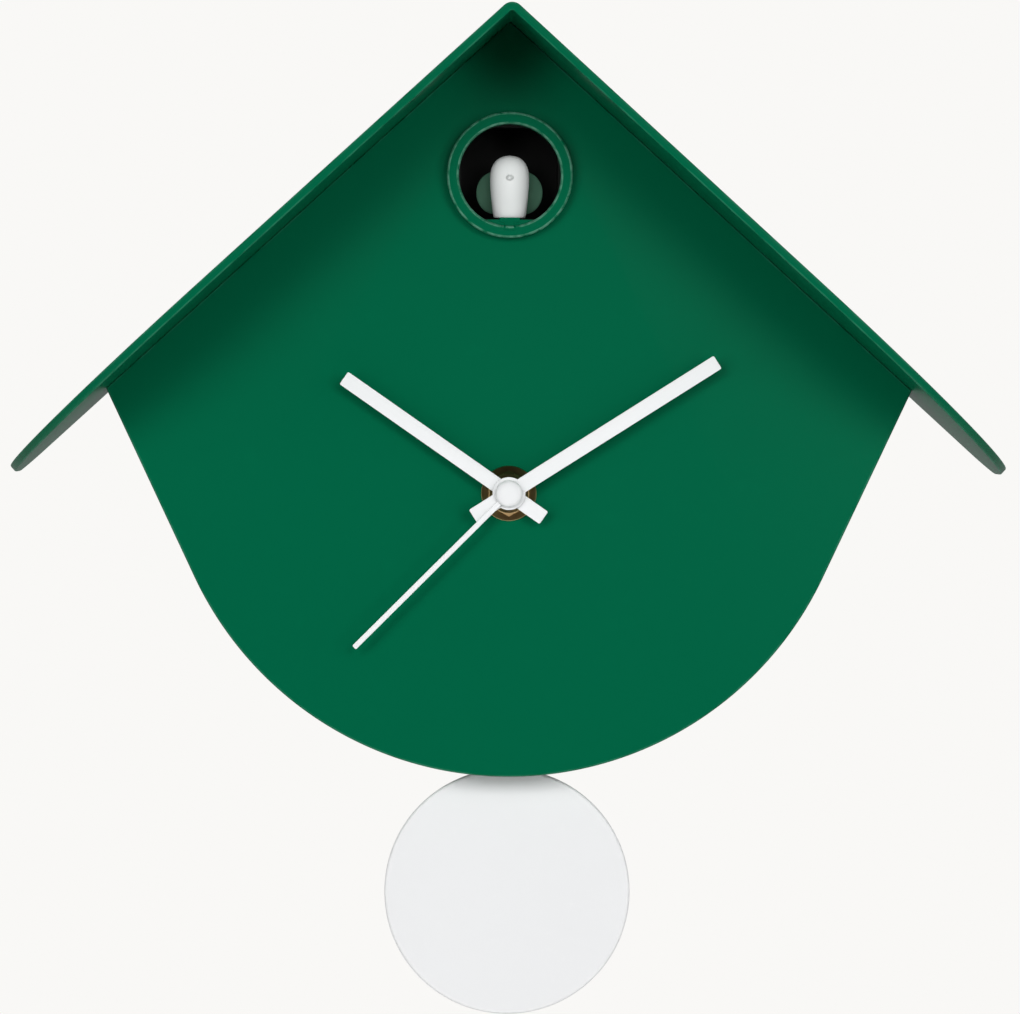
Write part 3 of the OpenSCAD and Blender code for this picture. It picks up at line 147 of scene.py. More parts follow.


def make_moulded_skin():
    """Fine erosion texture of a moulded face, with slow cloudy variation of its tone."""
    tree, source, sink = group(
        "moulded_skin",
        [("Grain Scale", FLOAT, 1400.0), ("Cloud Scale", FLOAT, 25.0)],
        [("Height", FLOAT), ("Cloud", FLOAT), ("Speck", FLOAT)],
    )
    place = add(tree, "ShaderNodeTexCoord")
    grain = add(tree, "ShaderNodeTexNoise", {"Detail": 3.0, "Roughness": 0.6})
    pits = add(tree, "ShaderNodeTexVoronoi", feature="F1")
    mixed = add(tree, "ShaderNodeMath", operation="ADD")
    cloud = add(tree, "ShaderNodeTexNoise", {"Detail": 4.0, "Roughness": 0.55, "Distortion": 0.4})
    speck = add(tree, "ShaderNodeTexNoise", {"Detail": 2.0, "Roughness": 0.7})
    speck_scale = add(tree, "ShaderNodeMath", {1: 9.0}, operation="MULTIPLY")
    speck_cut = add(tree, "ShaderNodeMapRange", {"From Min": 0.62, "From Max": 0.78})
    for texture in (grain, pits, cloud, speck):
        tree.links.new(place.outputs["Object"], texture.inputs["Vector"])
    tree.links.new(source.outputs["Grain Scale"], grain.inputs["Scale"])
    tree.links.new(source.outputs["Grain Scale"], pits.inputs["Scale"])
    tree.links.new(source.outputs["Cloud Scale"], cloud.inputs["Scale"])
    tree.links.new(source.outputs["Cloud Scale"], speck_scale.inputs[0])
    tree.links.new(speck_scale.outputs[0], speck.inputs["Scale"])
    tree.links.new(grain.outputs["Fac"], mixed.inputs[0])
    tree.links.new(pits.outputs["Distance"], mixed.inputs[1])
    tree.links.new(speck.outputs["Fac"], speck_cut.inputs["Value"])
    tree.links.new(mixed.outputs[0], sink.inputs["Height"])
    tree.links.new(cloud.outputs["Fac"], sink.inputs["Cloud"])
    tree.links.new(speck_cut.outputs["Result"], sink.inputs["Speck"])
    return tree


# The edge mask lays partly wear and partly a painted highlight on rounded edges.
def make_edge_wear_and_highlight():
    """A mask that is white on the narrow faces of rounded edges and breaks up along them; it places edge
    wear and a painted edge highlight.
    """
    tree, source, sink = group(
        "edge_wear_and_highlight",
        [("Break Scale", FLOAT, 300.0)],
        [("Mask", FLOAT)],
    )
    place = add(tree, "ShaderNodeTexCoord")
    edge = add(tree, "ShaderNodeAttribute", attribute_name=EDGE_WEAR_AND_HIGHLIGHT)
    breaks = add(tree, "ShaderNodeTexNoise", {"Detail": 3.0})
    breaks_cut = add(tree, "ShaderNodeMapRange", {"From Min": 0.35, "From Max": 0.6})
    both = add(tree, "ShaderNodeMath", operation="MULTIPLY")
    tree.links.new(place.outputs["Object"], breaks.inputs["Vector"])
    tree.links.new(source.outputs["Break Scale"], breaks.inputs["Scale"])
    tree.links.new(breaks.outputs["Fac"], breaks_cut.inputs["Value"])
    tree.links.new(edge.outputs["Fac"], both.inputs[0])
    tree.links.new(breaks_cut.outputs["Result"], both.inputs[1])
    tree.links.new(both.outputs[0], sink.inputs["Mask"])
    return tree


def make_tool_marks():
    """Marks of turning round a line along Y, and marks of rolling along X, as two heights."""
    tree, source, sink = group(
        "tool_marks",
        [("Centre", VECTOR, (0.0, 0.0, 0.0)), ("Pitch Scale", FLOAT, 6000.0)],
        [("Turned", FLOAT), ("Rolled", FLOAT)],
    )
    place = add(tree, "ShaderNodeTexCoord")
    shifted = add(tree, "ShaderNodeVectorMath", operation="SUBTRACT")
    flat = add(tree, "ShaderNodeVectorMath", {1: (1.0, 0.0, 1.0)}, operation="MULTIPLY")
    reach = add(tree, "ShaderNodeVectorMath", operation="LENGTH")
    rings = add(tree, "ShaderNodeTexNoise", {"Detail": 2.0}, noise_dimensions="1D")
    stretched = add(tree, "ShaderNodeVectorMath", {1: (0.02, 1.0, 1.0)}, operation="MULTIPLY")
    streaks = add(tree, "ShaderNodeTexNoise", {"Detail": 2.0})
    tree.links.new(place.outputs["Object"], shifted.inputs[0])
    tree.links.new(source.outputs["Centre"], shifted.inputs[1])
    tree.links.new(shifted.outputs["Vector"], flat.inputs[0])
    tree.links.new(flat.outputs["Vector"], reach.inputs[0])
    tree.links.new(reach.outputs["Value"], rings.inputs["W"])
    tree.links.new(source.outputs["Pitch Scale"], rings.inputs["Scale"])
    tree.links.new(place.outputs["Object"], stretched.inputs[0])
    tree.links.new(stretched.outputs["Vector"], streaks.inputs["Vector"])
    tree.links.new(source.outputs["Pitch Scale"], streaks.inputs["Scale"])
    tree.links.new(rings.outputs["Fac"], sink.inputs["Turned"])
    tree.links.new(streaks.outputs["Fac"], sink.inputs["Rolled"])
    return tree


SKIN = make_moulded_skin()
WEAR_AND_HIGHLIGHT_GROUP = make_edge_wear_and_highlight()
MARKS = make_tool_marks()


# ---------------------------------------------------------------- materials

def start_material(name):
    """A new node material with its Principled shader, ready for its textures."""
    made = bpy.data.materials.new(name)
    made.use_nodes = True
    shader = made.node_tree.nodes["Principled BSDF"]
    return made, made.node_tree, shader


def place_group(tree, wanted, values):
    placed = add(tree, "ShaderNodeGroup", node_tree=wanted)
    for key, value in values.items():
        placed.inputs[key].default_value = value
    return placed


def toned(colour, share):
    return tuple(min(1.0, part * share) for part in colour) + (1.0,)


def tone_by(tree, mask, colour, spread):
    """A colour that runs from a little darker to a little lighter with a mask."""
    mix = add(tree, "ShaderNodeMix", data_type="RGBA")
    mix.inputs["A"].default_value = toned(colour, 1 - spread)
    mix.inputs["B"].default_value = toned(colour, 1 + spread)
    tree.links.new(mask, mix.inputs["Factor"])
    return mix.outputs["Result"]


def mix_over(tree, mask, under, colour, strength):
    """Lays a colour over another where the mask is white, as strongly as the strength says."""
    scaled = add(tree, "ShaderNodeMath", {1: strength}, operation="MULTIPLY")
    mix = add(tree, "ShaderNodeMix", data_type="RGBA")
    tree.links.new(mask, scaled.inputs[0])
    tree.links.new(scaled.outputs[0], mix.inputs["Factor"])
    tree.links.new(under, mix.inputs["A"])
    mix.inputs["B"].default_value = tuple(colour) + (1.0,)
    return mix.outputs["Result"]


def rough_by(tree, shader, mask, low, high):
    spread = add(tree, "ShaderNodeMapRange", {"To Min": low, "To Max": high})
    tree.links.new(mask, spread.inputs["Value"])
    tree.links.new(spread.outputs["Result"], shader.inputs["Roughness"])


def bump_by(tree, shader, height, strength, distance):
    bump = add(tree, "ShaderNodeBump", {"Strength": strength, "Distance": distance})
    tree.links.new(height, bump.inputs["Height"])
    tree.links.new(bump.outputs["Normal"], shader.inputs["Normal"])


def moulded(name, colour, rough, wear_and_highlight, grain=1400.0, cloud=25.0, bump=0.25, spread=0.05, wear=0.3,
            specular=0.5, coat=0.0, rough_spread=0.05):
    """Moulded plastic or paint: cloudy tone, fine erosion texture, and lighter rounded edges that are partly
    wear, partly a painted highlight.
    """
    made, tree, shader = start_material(name)
    skin = place_group(tree, SKIN, {"Grain Scale": grain, "Cloud Scale": cloud})
    edges = place_group(tree, WEAR_AND_HIGHLIGHT_GROUP, {"Break Scale": cloud * 12})
    body = tone_by(tree, skin.outputs["Cloud"], colour, spread)
    specked = mix_over(tree, skin.outputs["Speck"], body, toned(colour, 1 + 4 * spread)[:3], 0.35)
    # Rounded edges get a lighter colour: partly wear, partly a painted highlight.
    finished = mix_over(tree, edges.outputs["Mask"], specked, wear_and_highlight, wear)
    tree.links.new(finished, shader.inputs["Base Color"])
    rough_by(tree, shader, skin.outputs["Cloud"], rough - rough_spread, rough + rough_spread)
    bump_by(tree, shader, skin.outputs["Height"], bump, 0.00002)
    shader.inputs["Specular IOR Level"].default_value = specular
    shader.inputs["Coat Weight"].default_value = coat
    shader.inputs["Coat Roughness"].default_value = 0.18
    return made


def metal(name, colour, rough, marks, pitch=6000.0, bump=0.2, spread=0.1, wear=0.4, centre=(0, 0, 0),
          tarnish=None):
    """Bare metal with its tool marks, cloudy tarnish and bright edges that are partly wear, partly a painted
    highlight.
    """
    made, tree, shader = start_material(name)
    skin = place_group(tree, SKIN, {"Grain Scale": 2500.0, "Cloud Scale": 120.0})
    tool = place_group(tree, MARKS, {"Centre": centre, "Pitch Scale": pitch})
    edges = place_group(tree, WEAR_AND_HIGHLIGHT_GROUP, {"Break Scale": 900.0})
    body = tone_by(tree, tool.outputs[marks], colour, spread)
    if tarnish:
        body = mix_over(tree, skin.outputs["Cloud"], body, tarnish, 0.6)
    # Rounded edges get a brighter copy of the metal: partly wear, partly a painted highlight.
    finished = mix_over(tree, edges.outputs["Mask"], body, toned(colour, 1.35)[:3], wear)
    tree.links.new(finished, shader.inputs["Base Color"])
    rough_by(tree, shader, skin.outputs["Cloud"], rough - 0.08, rough + 0.1)
    bump_by(tree, shader, tool.outputs[marks], bump, 0.00003)
    shader.inputs["Metallic"].default_value = 1.0
    return made


GREEN = (0.0, 0.116, 0.052)
# Lighter green for rounded edges: partly wear, partly a painted highlight.
GREEN_WEAR_AND_HIGHLIGHT = (0.05, 0.26, 0.16)
WHITE = (0.86, 0.87, 0.88)


def green_shell(name, cloud, wear_and_highlight=GREEN_WEAR_AND_HIGHLIGHT, wear=0.3):
    return moulded(name, GREEN, 0.3, wear_and_highlight, grain=2300.0, cloud=cloud, bump=0.06, spread=0.02,
                   wear=wear, specular=0.16, rough_spread=0.02)


def white_paint(name, colour, rough, cloud):
    return moulded(name, colour, rough, (0.95, 0.95, 0.95), grain=2600.0, cloud=cloud, bump=0.06,
                   spread=0.012, wear=0.3, specular=0.4)


def make_materials():
    """One material for each of the record's finishes, by the name of its slot."""
    axis = tuple(AXIS)
    return {
        "roof_plastic": green_shell("roof_green", 14.0),
        "case_plastic": green_shell("case_green", 11.0),
        # The ring's edges get a paler green at a higher strength: painted highlight lines along its edges,
        # with some wear.
        "ring_plastic": green_shell("ring_green", 40.0, (0.16, 0.38, 0.28), 0.5),
        "cover_plastic": moulded("cover_grey", (0.035, 0.037, 0.038), 0.55, (0.12, 0.12, 0.12),
                                 grain=1100.0, cloud=20.0, bump=0.6),
        "black_plastic": moulded("black_mould", (0.012, 0.012, 0.012), 0.5, (0.06, 0.06, 0.06),
                                 grain=1500.0, cloud=40.0),
        "movement_plastic": moulded("movement_black", (0.015, 0.015, 0.016), 0.6, (0.07, 0.07, 0.07),
                                    grain=1300.0, cloud=60.0, bump=0.5),
        "gear_plastic": moulded("gear_ivory", (0.82, 0.8, 0.72), 0.42, (0.95, 0.93, 0.88),
                                grain=3000.0, cloud=150.0, bump=0.08, spread=0.02, wear=0.2),
        "bird_plastic": white_paint("bird_white", (0.86, 0.87, 0.87), 0.5, 180.0),
        "disc_plastic": white_paint("disc_white", (0.84, 0.845, 0.855), 0.45, 30.0),
        "cap_plastic": white_paint("cap_white", WHITE, 0.28, 200.0),
        "hand_metal": white_paint("hand_white", (0.88, 0.89, 0.9), 0.35, 90.0),
        # Brass edges are brightened strongly: a painted highlight, with some wear.
        "brass": metal("turned_brass", (0.8, 0.55, 0.27), 0.42, "Turned", centre=axis,
                       tarnish=(0.42, 0.24, 0.11), wear=0.9),
        "screw_steel": metal("zinc_steel", (0.6, 0.6, 0.6), 0.32, "Turned", tarnish=(0.42, 0.44, 0.42)),
        "motor_steel": metal("drawn_steel", (0.62, 0.62, 0.63), 0.3, "Rolled", tarnish=(0.45, 0.45, 0.46)),
        "iron": metal("stamped_iron", (0.35, 0.35, 0.36), 0.45, "Rolled", tarnish=(0.2, 0.17, 0.15)),
        "magnet": metal("ground_ferrite", (0.12, 0.12, 0.13), 0.5, "Rolled", tarnish=(0.08, 0.08, 0.08)),
        "copper_wire": metal("enamelled_wire", (0.55, 0.22, 0.08), 0.3, "Rolled", pitch=9000.0, bump=0.8,
                             tarnish=(0.3, 0.08, 0.03)),
        "board_laminate": moulded("solder_mask", (0.02, 0.09, 0.03), 0.25, (0.1, 0.25, 0.12),
                                  grain=4000.0, cloud=300.0, bump=0.15, spread=0.2, coat=0.3),
        "gasket_rubber": moulded("soft_rubber", (0.02, 0.02, 0.02), 0.8, (0.06, 0.06, 0.06),
                                 grain=2500.0, cloud=200.0, bump=0.6, specular=0.2),
        "cell_sleeve": moulded("cell_sleeve_blue", (0.12, 0.16, 0.2), 0.22, (0.4, 0.42, 0.45),
                               grain=1200.0, cloud=90.0, bump=0.1, spread=0.1, coat=0.5),
        "contact_nickel": metal("nickel_plate", (0.66, 0.65, 0.62), 0.22, "Rolled",
                                tarnish=(0.5, 0.48, 0.42)),
        "speaker_steel": moulded("stamped_black_steel", (0.09, 0.09, 0.1), 0.38, (0.3, 0.3, 0.3),
                                 grain=900.0, cloud=60.0, bump=0.2, coat=0.2),
        "cone_paper": moulded("pressed_paper", (0.03, 0.03, 0.03), 0.85, (0.08, 0.08, 0.08),
                              grain=1800.0, cloud=250.0, bump=0.9, spread=0.2, specular=0.15),
        "lead_insulation": moulded("lead_red", (0.35, 0.02, 0.02), 0.4, (0.6, 0.1, 0.08),
                                   grain=2000.0, cloud=150.0, bump=0.15),
    }


MATERIALS = make_materials()


# ---------------------------------------------------------------- mesh helpers

def mesh_from(name, points, faces):
    mesh = bpy.data.meshes.new(name)
    mesh.from_pydata([tuple(p) for p in points], [], faces)
    mesh.update()
    return mesh


def new_object(name, mesh):
    made = bpy.data.objects.new(name, mesh)
    scene.collection.objects.link(made)
    return made


def outward(made):
    """Turns all faces outward."""
    work = bmesh.new()
    work.from_mesh(made.data)
    bmesh.ops.recalc_face_normals(work, faces=work.faces)
    work.to_mesh(made.data)
    work.free()
    return made


def set_modifiers(made):
    """Applies the modifiers, in order, to the object's own mesh."""
    graph = bpy.context.evaluated_depsgraph_get()
    graph.update()
    shaped = bpy.data.meshes.new_from_object(made.evaluated_get(graph))
    made.modifiers.clear()
    made.data = shaped
    return made


def drop(made):
    mesh = made.data
    bpy.data.objects.remove(made)
    bpy.data.meshes.remove(mesh)


def combine(made, others, operation):
    """Cuts the others from the object, adds them, or keeps what they share, and removes them."""
    for other in others:
        step = made.modifiers.new(operation.lower(), "BOOLEAN")
        step.operation = operation
        step.solver = "EXACT"
        step.object = other
    set_modifiers(made)
    for other in others:
        drop(other)
    return made


def cut(made, *others):
    return combine(made, others, "DIFFERENCE")


def unite(made, *others):
    return combine(made, others, "UNION")


def round_edges(made, width, segments=3, sharper_than=35):
    """Rounds the edges that are sharper than an angle, and applies it."""
    bevel = made.modifiers.new("rounded", "BEVEL")
    bevel.width = width
    bevel.segments = segments
    bevel.limit_method = "ANGLE"
    bevel.angle_limit = rad(sharper_than)
    bevel.use_clamp_overlap = True
    bevel.miter_outer = "MITER_ARC"
    return set_modifiers(made)


def smooth(made, sharper_than=32):
    """Shades the faces smooth, and keeps edges sharper than the angle crisp."""
    mesh = made.data
    mesh.shade_smooth()
    work = bmesh.new()
    work.from_mesh(mesh)
    for edge in work.edges:
        if len(edge.link_faces) == 2:
            edge.smooth = edge.calc_face_angle(0) < rad(sharper_than)
    work.to_mesh(mesh)
    work.free()
    return made


def plate(name, outline, back, front):
    """A flat plate from a front-view outline of (x, z) points, between two depths."""
    count = len(outline)
    points = [(x, -back, z) for x, z in outline] + [(x, -front, z) for x, z in outline]
    faces = [list(range(count)), list(range(2 * count - 1, count - 1, -1))]
    for i in range(count):
        j = (i + 1) % count
        faces.append([i, i + count, j + count, j])
    return outward(new_object(name, mesh_from(name, points, faces)))


def rectangle(left, right, low, high):
    return [(left, low), (right, low), (right, high), (left, high)]


def circle(centre, r, count=96):
    x, z = centre
    return [(x + r * math.cos(2 * math.pi * i / count), z + r * math.sin(2 * math.pi * i / count))
            for i in range(count)]


def bar(name, centre, r, back, front, count=48):
    return plate(name, circle(centre, r, count), back, front)


def lathe(name, profile, centre, count=96):
    """Turns (radius, depth) points about a line along Y. Points on the line close the form."""
    x0, z0 = centre
    points, rings = [], []
    for r, depth in profile:
        if r < 1e-9:
            rings.append([len(points)])
            points.append((x0, -depth, z0))
            continue
        rings.append(list(range(len(points), len(points) + count)))
        points += [(x, -depth, z) for x, z in circle(centre, r, count)]
    closed = profile[0][0] > 1e-9
    faces = []
    for k in range(len(rings) - (0 if closed else 1)):
        one, two = rings[k], rings[(k + 1) % len(rings)]
        for i in range(count):
            j = (i + 1) % count
            face = [one[i % len(one)], one[j % len(one)], two[j % len(two)], two[i % len(two)]]
            kept = list(dict.fromkeys(face))
            if len(kept) > 2:
                faces.append(kept)
    return outward(new_object(name, mesh_from(name, points, faces)))


def arc(centre, r, start, end, steps):
    """Points on an arc, with angles in degrees counted from +X towards +Z."""
    return [(centre[0] + r * math.cos(rad(start + (end - start) * i / steps)),
             centre[1] + r * math.sin(rad(start + (end - start) * i / steps)))
            for i in range(steps + 1)]


def mark_wear_and_highlight_edges(mesh, narrow=0.9 * MM, bend=12, corner=60):
    """Marks the narrow faces of rounded edges, where the materials lay edge wear and a painted highlight.

    A rounded edge's faces bend gently to their neighbours, so faces beside a sharp corner are left out.
    """
    work = bmesh.new()
    work.from_mesh(mesh)
    marks = []
    for face in work.faces:
        longest = max(edge.calc_length() for edge in face.edges)
        sides = [edge for edge in face.edges
                 if len(edge.link_faces) == 2 and edge.calc_length() > 0.5 * longest]
        turned = max((edge.calc_face_angle_signed(0) for edge in sides), default=0)
        rounded = rad(bend) < turned < rad(corner)
        marks.append(1.0 if rounded and face.calc_area() / longest < narrow else 0.0)
    work.free()
    attribute = mesh.attributes.new(EDGE_WEAR_AND_HIGHLIGHT, "FLOAT", "FACE")
    attribute.data.foreach_set("value", marks)


def finish(made, slot, body, *nodes):
    """Gives a piece its finish, its body and the CAD nodes that it stands for."""
    mark_wear_and_highlight_edges(made.data)
    made.data.materials.clear()
    made.data.materials.append(MATERIALS[slot])
    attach(made, body)
    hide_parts(*nodes)
    return made


# ---------------------------------------------------------------- roof

def slope_point(side, along, lift):
    """A point on a roof panel: how far down the slope, and how far out of its top face."""
    x = along * math.cos(ROOF_PITCH) + lift * math.sin(ROOF_PITCH)
    z = RIDGE_Z - along * math.sin(ROOF_PITCH) + lift * math.cos(ROOF_PITCH)
    return side * x, z


def bent_roof_point(along, depth, lift):
    """Bends a flat sheet over the ridge. Along is measured over the outside from the middle."""
    side = 1 if along >= 0 else -1
    reach = abs(along)
    arc_len = RIDGE_R * ROOF_PITCH
    if reach >= arc_len:
        x, z = slope_point(side, reach - arc_len + RIDGE_R * math.tan(ROOF_PITCH), lift)
        return Vector((x, -depth, z))
    turn = reach / RIDGE_R
    centre_z = RIDGE_Z - RIDGE_R / math.cos(ROOF_PITCH)
    r = RIDGE_R + lift
    return Vector((side * r * math.sin(turn), -depth, centre_z + r * math.cos(turn)))


def roof_outline():
    """Outline of the flat sheet, as (along, depth) points, with its four rounded corners."""
    half = ROOF_HALF / math.cos(ROOF_PITCH) - RIDGE_R * (math.tan(ROOF_PITCH) - ROOF_PITCH)
    right = arc((half - EAVE_REAR_R, EAVE_REAR_R), EAVE_REAR_R, -90, 0, 12)
    right += arc((half - EAVE_FRONT_R, ROOF_DEPTH - EAVE_FRONT_R), EAVE_FRONT_R, 0, 90, 36)
    left = [(-along, depth) for along, depth in reversed(right)]
    return right + left


def build_roof():
    outline = roof_outline()
    # a plate lying in the (along, depth) plane, with lift as its thickness
    sheet = plate("roof_sheet", outline, 0, ROOF_T)
    round_edges(sheet, 0.45 * MM, 3, 50)
    work = bmesh.new()
    work.from_mesh(sheet.data)
    ridge_steps = 8
    arc_len = RIDGE_R * ROOF_PITCH
    for i in range(-ridge_steps, ridge_steps + 1):
        everything = work.verts[:] + work.edges[:] + work.faces[:]
        bmesh.ops.bisect_plane(work, geom=everything, plane_co=(arc_len * i / ridge_steps, 0, 0),
                               plane_no=(1, 0, 0), dist=1e-7)
    for vertex in work.verts:
        along, thick, depth = vertex.co.x, -vertex.co.y, vertex.co.z
        vertex.co = bent_roof_point(along, depth, thick - ROOF_T)
    bmesh.ops.recalc_face_normals(work, faces=work.faces)
    work.to_mesh(sheet.data)
    work.free()
    bosses = [roof_boss(side, along) for side in (-1, 1) for along in BOSS_DOWN_SLOPE]
    unite(sheet, *bosses)
    sheet.name = "roof"
    smooth(sheet)
    return finish(sheet, "roof_plastic", "case", "roof_shell")


def set_under_panel(made, side, along):
    """Stands a form made along Y on the underside of a roof panel, at the middle of the case's depth."""
    x, z = slope_point(side, along, -ROOF_T)
    turn = Matrix.Rotation(side * ROOF_PITCH, 4, "Y") @ Matrix.Rotation(rad(90), 4, "X")
    made.data.transform(Matrix.Translation((x, -CASE_DEPTH / 2, z)) @ turn)
    return outward(made)


def roof_boss(side, along):
    """A tube under the panel that takes a roof screw."""
    length, r, bore = 5 * MM, 3.5 * MM, 1.3 * MM
    floor = 0.5 * MM
    made = lathe("roof_boss", [(0, floor), (bore, floor), (bore, length), (r - 0.3 * MM, length),
                               (r, length - 0.3 * MM), (r, -0.6 * MM), (0, -0.6 * MM)], (0, 0), 32)
    return set_under_panel(made, side, along)


# ---------------------------------------------------------------- case

def case_outline(inset):
    """Front view of the case: straight under the roof and down the sides, round at the bottom."""
    slope = math.tan(ROOF_PITCH)
    reach = CASE_R - inset
    top = CEILING_Z - inset / math.cos(ROOF_PITCH)
    up = top - CASE_CENTRE_Z + reach * (math.sin(SIDE_LEAN) - slope * math.cos(SIDE_LEAN))
    x = reach * math.cos(SIDE_LEAN) + math.sin(SIDE_LEAN) * up / (
        math.cos(SIDE_LEAN) + slope * math.sin(SIDE_LEAN))
    lean = math.degrees(SIDE_LEAN)
    bottom = arc((0, CASE_CENTRE_Z), reach, -lean, -180 + lean, 96)
    return [(0, top), (x, top - x * slope)] + bottom + [(-x, top - x * slope)]


def ringed(name, steps, outline):
    """A solid whose outline is inset by the given amount at each depth."""
    rings = [[(x, -depth, z) for x, z in outline(inset)] for inset, depth in steps]
    count = len(rings[0])
    points = [p for ring in rings for p in ring]
    faces = [list(range(count)), list(range(len(points) - count, len(points)))]
    for k in range(len(rings) - 1):
        for i in range(count):
            j = (i + 1) % count
            faces.append([k * count + i, k * count + j, (k + 1) * count + j, (k + 1) * count + i])
    return outward(new_object(name, mesh_from(name, points, faces)))


def rounded_steps(back, front, r, inset=0.0, count=5):
    """Insets and depths of a wall that ends in a rounded front edge."""
    steps = [(inset, back)]
    for i in range(count + 1):
        a = rad(90 * i / count)
        steps.append((inset + r * (1 - math.cos(a)), front - r + r * math.sin(a)))
    return steps


def spot_in_frame(spot, side=1):
    return side * spot[0] * MM, HANDS_Z + spot[1] * MM


def screw_post(spot, r, bore, back, hole):
    """A post behind the face, with a blind hole in its rear end."""
    face_back = CASE_DEPTH - CASE_T
    profile = [(0, back + hole), (bore, back + hole), (bore, back), (r - 0.2 * MM, back),
               (r, back + 0.2 * MM), (r, face_back + 0.3 * MM), (0, face_back + 0.3 * MM)]
    return lathe("post", profile, spot, 32)


def build_case():
    face_back = CASE_DEPTH - CASE_T
    gap = 0.02 * MM
    shell = ringed("case_shell", rounded_steps(0, CASE_DEPTH, 0.6 * MM, gap), case_outline)
    hollow = ringed("hollow", rounded_steps(-1 * MM, face_back, 0.4 * MM, CASE_T), case_outline)
    window = bar("window", (0, WINDOW_Z), SPIGOT_R + 0.1 * MM, face_back - MM, CASE_DEPTH + MM, 96)
    bushing = bar("bushing", (0, HANDS_Z), 4.1 * MM, face_back - MM, CASE_DEPTH + MM)
    low = min(point[1] for point in case_outline(0))
    slot_depths = (17.5 * MM, 28.2 * MM)
    slot = plate("slot", rectangle(-SLOT_HALF, SLOT_HALF, low - 2 * MM, low + 12 * MM), *slot_depths)
    holes = [roof_boss_hole(side, along) for side in (-1, 1) for along in BOSS_DOWN_SLOPE]
    cut(shell, hollow, window, bushing, slot, *holes)
    posts = []
    for side in (-1, 1):
        posts += [screw_post(spot_in_frame(s, side), 4 * MM, 1.3 * MM, 2 * MM, 10 * MM) for s in POST_SPOTS]
        posts += [screw_post(spot_in_frame(s, side), 3 * MM, 0.9 * MM, 35 * MM, 4 * MM)
                  for s in HOUSING_BOSS_SPOTS]
        posts.append(screw_post(spot_in_frame(BRACKET_BOSS, side), 3 * MM, 0.9 * MM, 33 * MM, 4 * MM))
    unite(shell, *posts)
    shell.name = "case_front"
    smooth(shell)
    return finish(shell, "case_plastic", "case", "front_case")


def roof_boss_hole(side, along):
    made = bar("boss_hole", (0, 0), 3.8 * MM, -MM, 5 * MM, 32)
    return set_under_panel(made, side, along)


# ---------------------------------------------------------------- window ring

def floor_front():
    """Depth at which the window's floor ends, a little behind the ring's front."""
    return RING_FRONT - FLOOR_SETBACK


def turned_ring():
    """The ring before its floor and groove are made."""
    face_back = CASE_DEPTH - CASE_T
    soft = RING_EDGE
    outer_edge = [(RING_R - soft + soft * math.cos(rad(a)), RING_FRONT - soft + soft * math.sin(rad(a)))
                  for a in range(0, 91, 15)]
    inner_edge = [(WINDOW_R + soft - soft * math.cos(rad(a)), RING_FRONT - soft + soft * math.sin(rad(a)))
                  for a in range(90, -1, -15)]
    profile = [(WINDOW_R, face_back), (SPIGOT_R, face_back), (SPIGOT_R, CASE_DEPTH), (RING_R, CASE_DEPTH)]
    return lathe("window_ring_body", profile + outer_edge + inner_edge, (0, WINDOW_Z), 160)


def build_window_ring():
    face_back = CASE_DEPTH - CASE_T
    ring = turned_ring()
    reach = WINDOW_R + 0.8 * MM
    drop_to_floor = WINDOW_Z - FLOOR_Z
    half_angle = math.degrees(math.acos(drop_to_floor / reach))
    segment = arc((0, WINDOW_Z), reach, -90 - half_angle, -90 + half_angle, 40)
    floor = plate("floor", segment, face_back, floor_front())
    unite(ring, floor)
    slide_low, slide_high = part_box("bird_carriage")
    groove = (slide_high.x + SLIDE_GAP, slide_high.z - SLIDE_T - SLIDE_GAP)
    rack = (RACK_HALF + SLIDE_GAP, slide_low.z - SLIDE_GAP)
    cutters = [
        plate("groove", rectangle(-half, half, low, FLOOR_Z + MM), face_back - MM, RING_FRONT + MM)
        for half, low in (groove, rack)
    ]
    cut(ring, *cutters)
    ring.name = "bird_window_ring"
    smooth(ring)
    return finish(ring, "ring_plastic", "case", "window_ring")


# ---------------------------------------------------------------- bird

def build_bird_body():
    """A plump upright bird: narrow foot, round breast, slight neck and domed head, with a small beak."""
    low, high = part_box("bird_body")
    tall = high.z - low.z
    widest = high.x
    centre_y = high.y - widest
    shares = ((0.0, 0.76), (0.02, 0.82), (0.08, 0.86), (0.18, 0.89), (0.32, 0.94), (0.46, 0.98),
              (0.58, 1.0), (0.68, 0.995), (0.78, 0.95), (0.86, 0.845), (0.93, 0.66), (0.975, 0.42))
    count = 40
    points = [(0, centre_y, low.z)]
    rings = []
    for up, wide in shares:
        rings.append(len(points))
        r = widest * wide
        for i in range(count):
            a = 2 * math.pi * i / count
            breast = 1 + 0.06 * math.exp(-((up - 0.3) / 0.18) ** 2) * max(0, -math.sin(a))
            points.append((r * math.cos(a), centre_y + 0.93 * r * breast * math.sin(a), low.z + up * tall))
    points.append((0, centre_y, high.z))
    faces = []
    for i in range(count):
        j = (i + 1) % count
        faces.append([0, rings[0] + j, rings[0] + i])
        for one, two in zip(rings, rings[1:]):
            faces.append([one + i, one + j, two + j, two + i])
        faces.append([rings[-1] + i, rings[-1] + j, len(points) - 1])
    body = outward(new_object("bird_figure", mesh_from("bird_figure", points, faces)))
    beak = build_beak(low, high, centre_y - 0.93 * widest)
    unite(body, beak)
    relax = body.modifiers.new("relax", "SUBSURF")
    relax.levels = relax.render_levels = 1
    set_modifiers(body)
    smooth(body, 60)
    return finish(body, "bird_plastic", "bird", "bird_body")


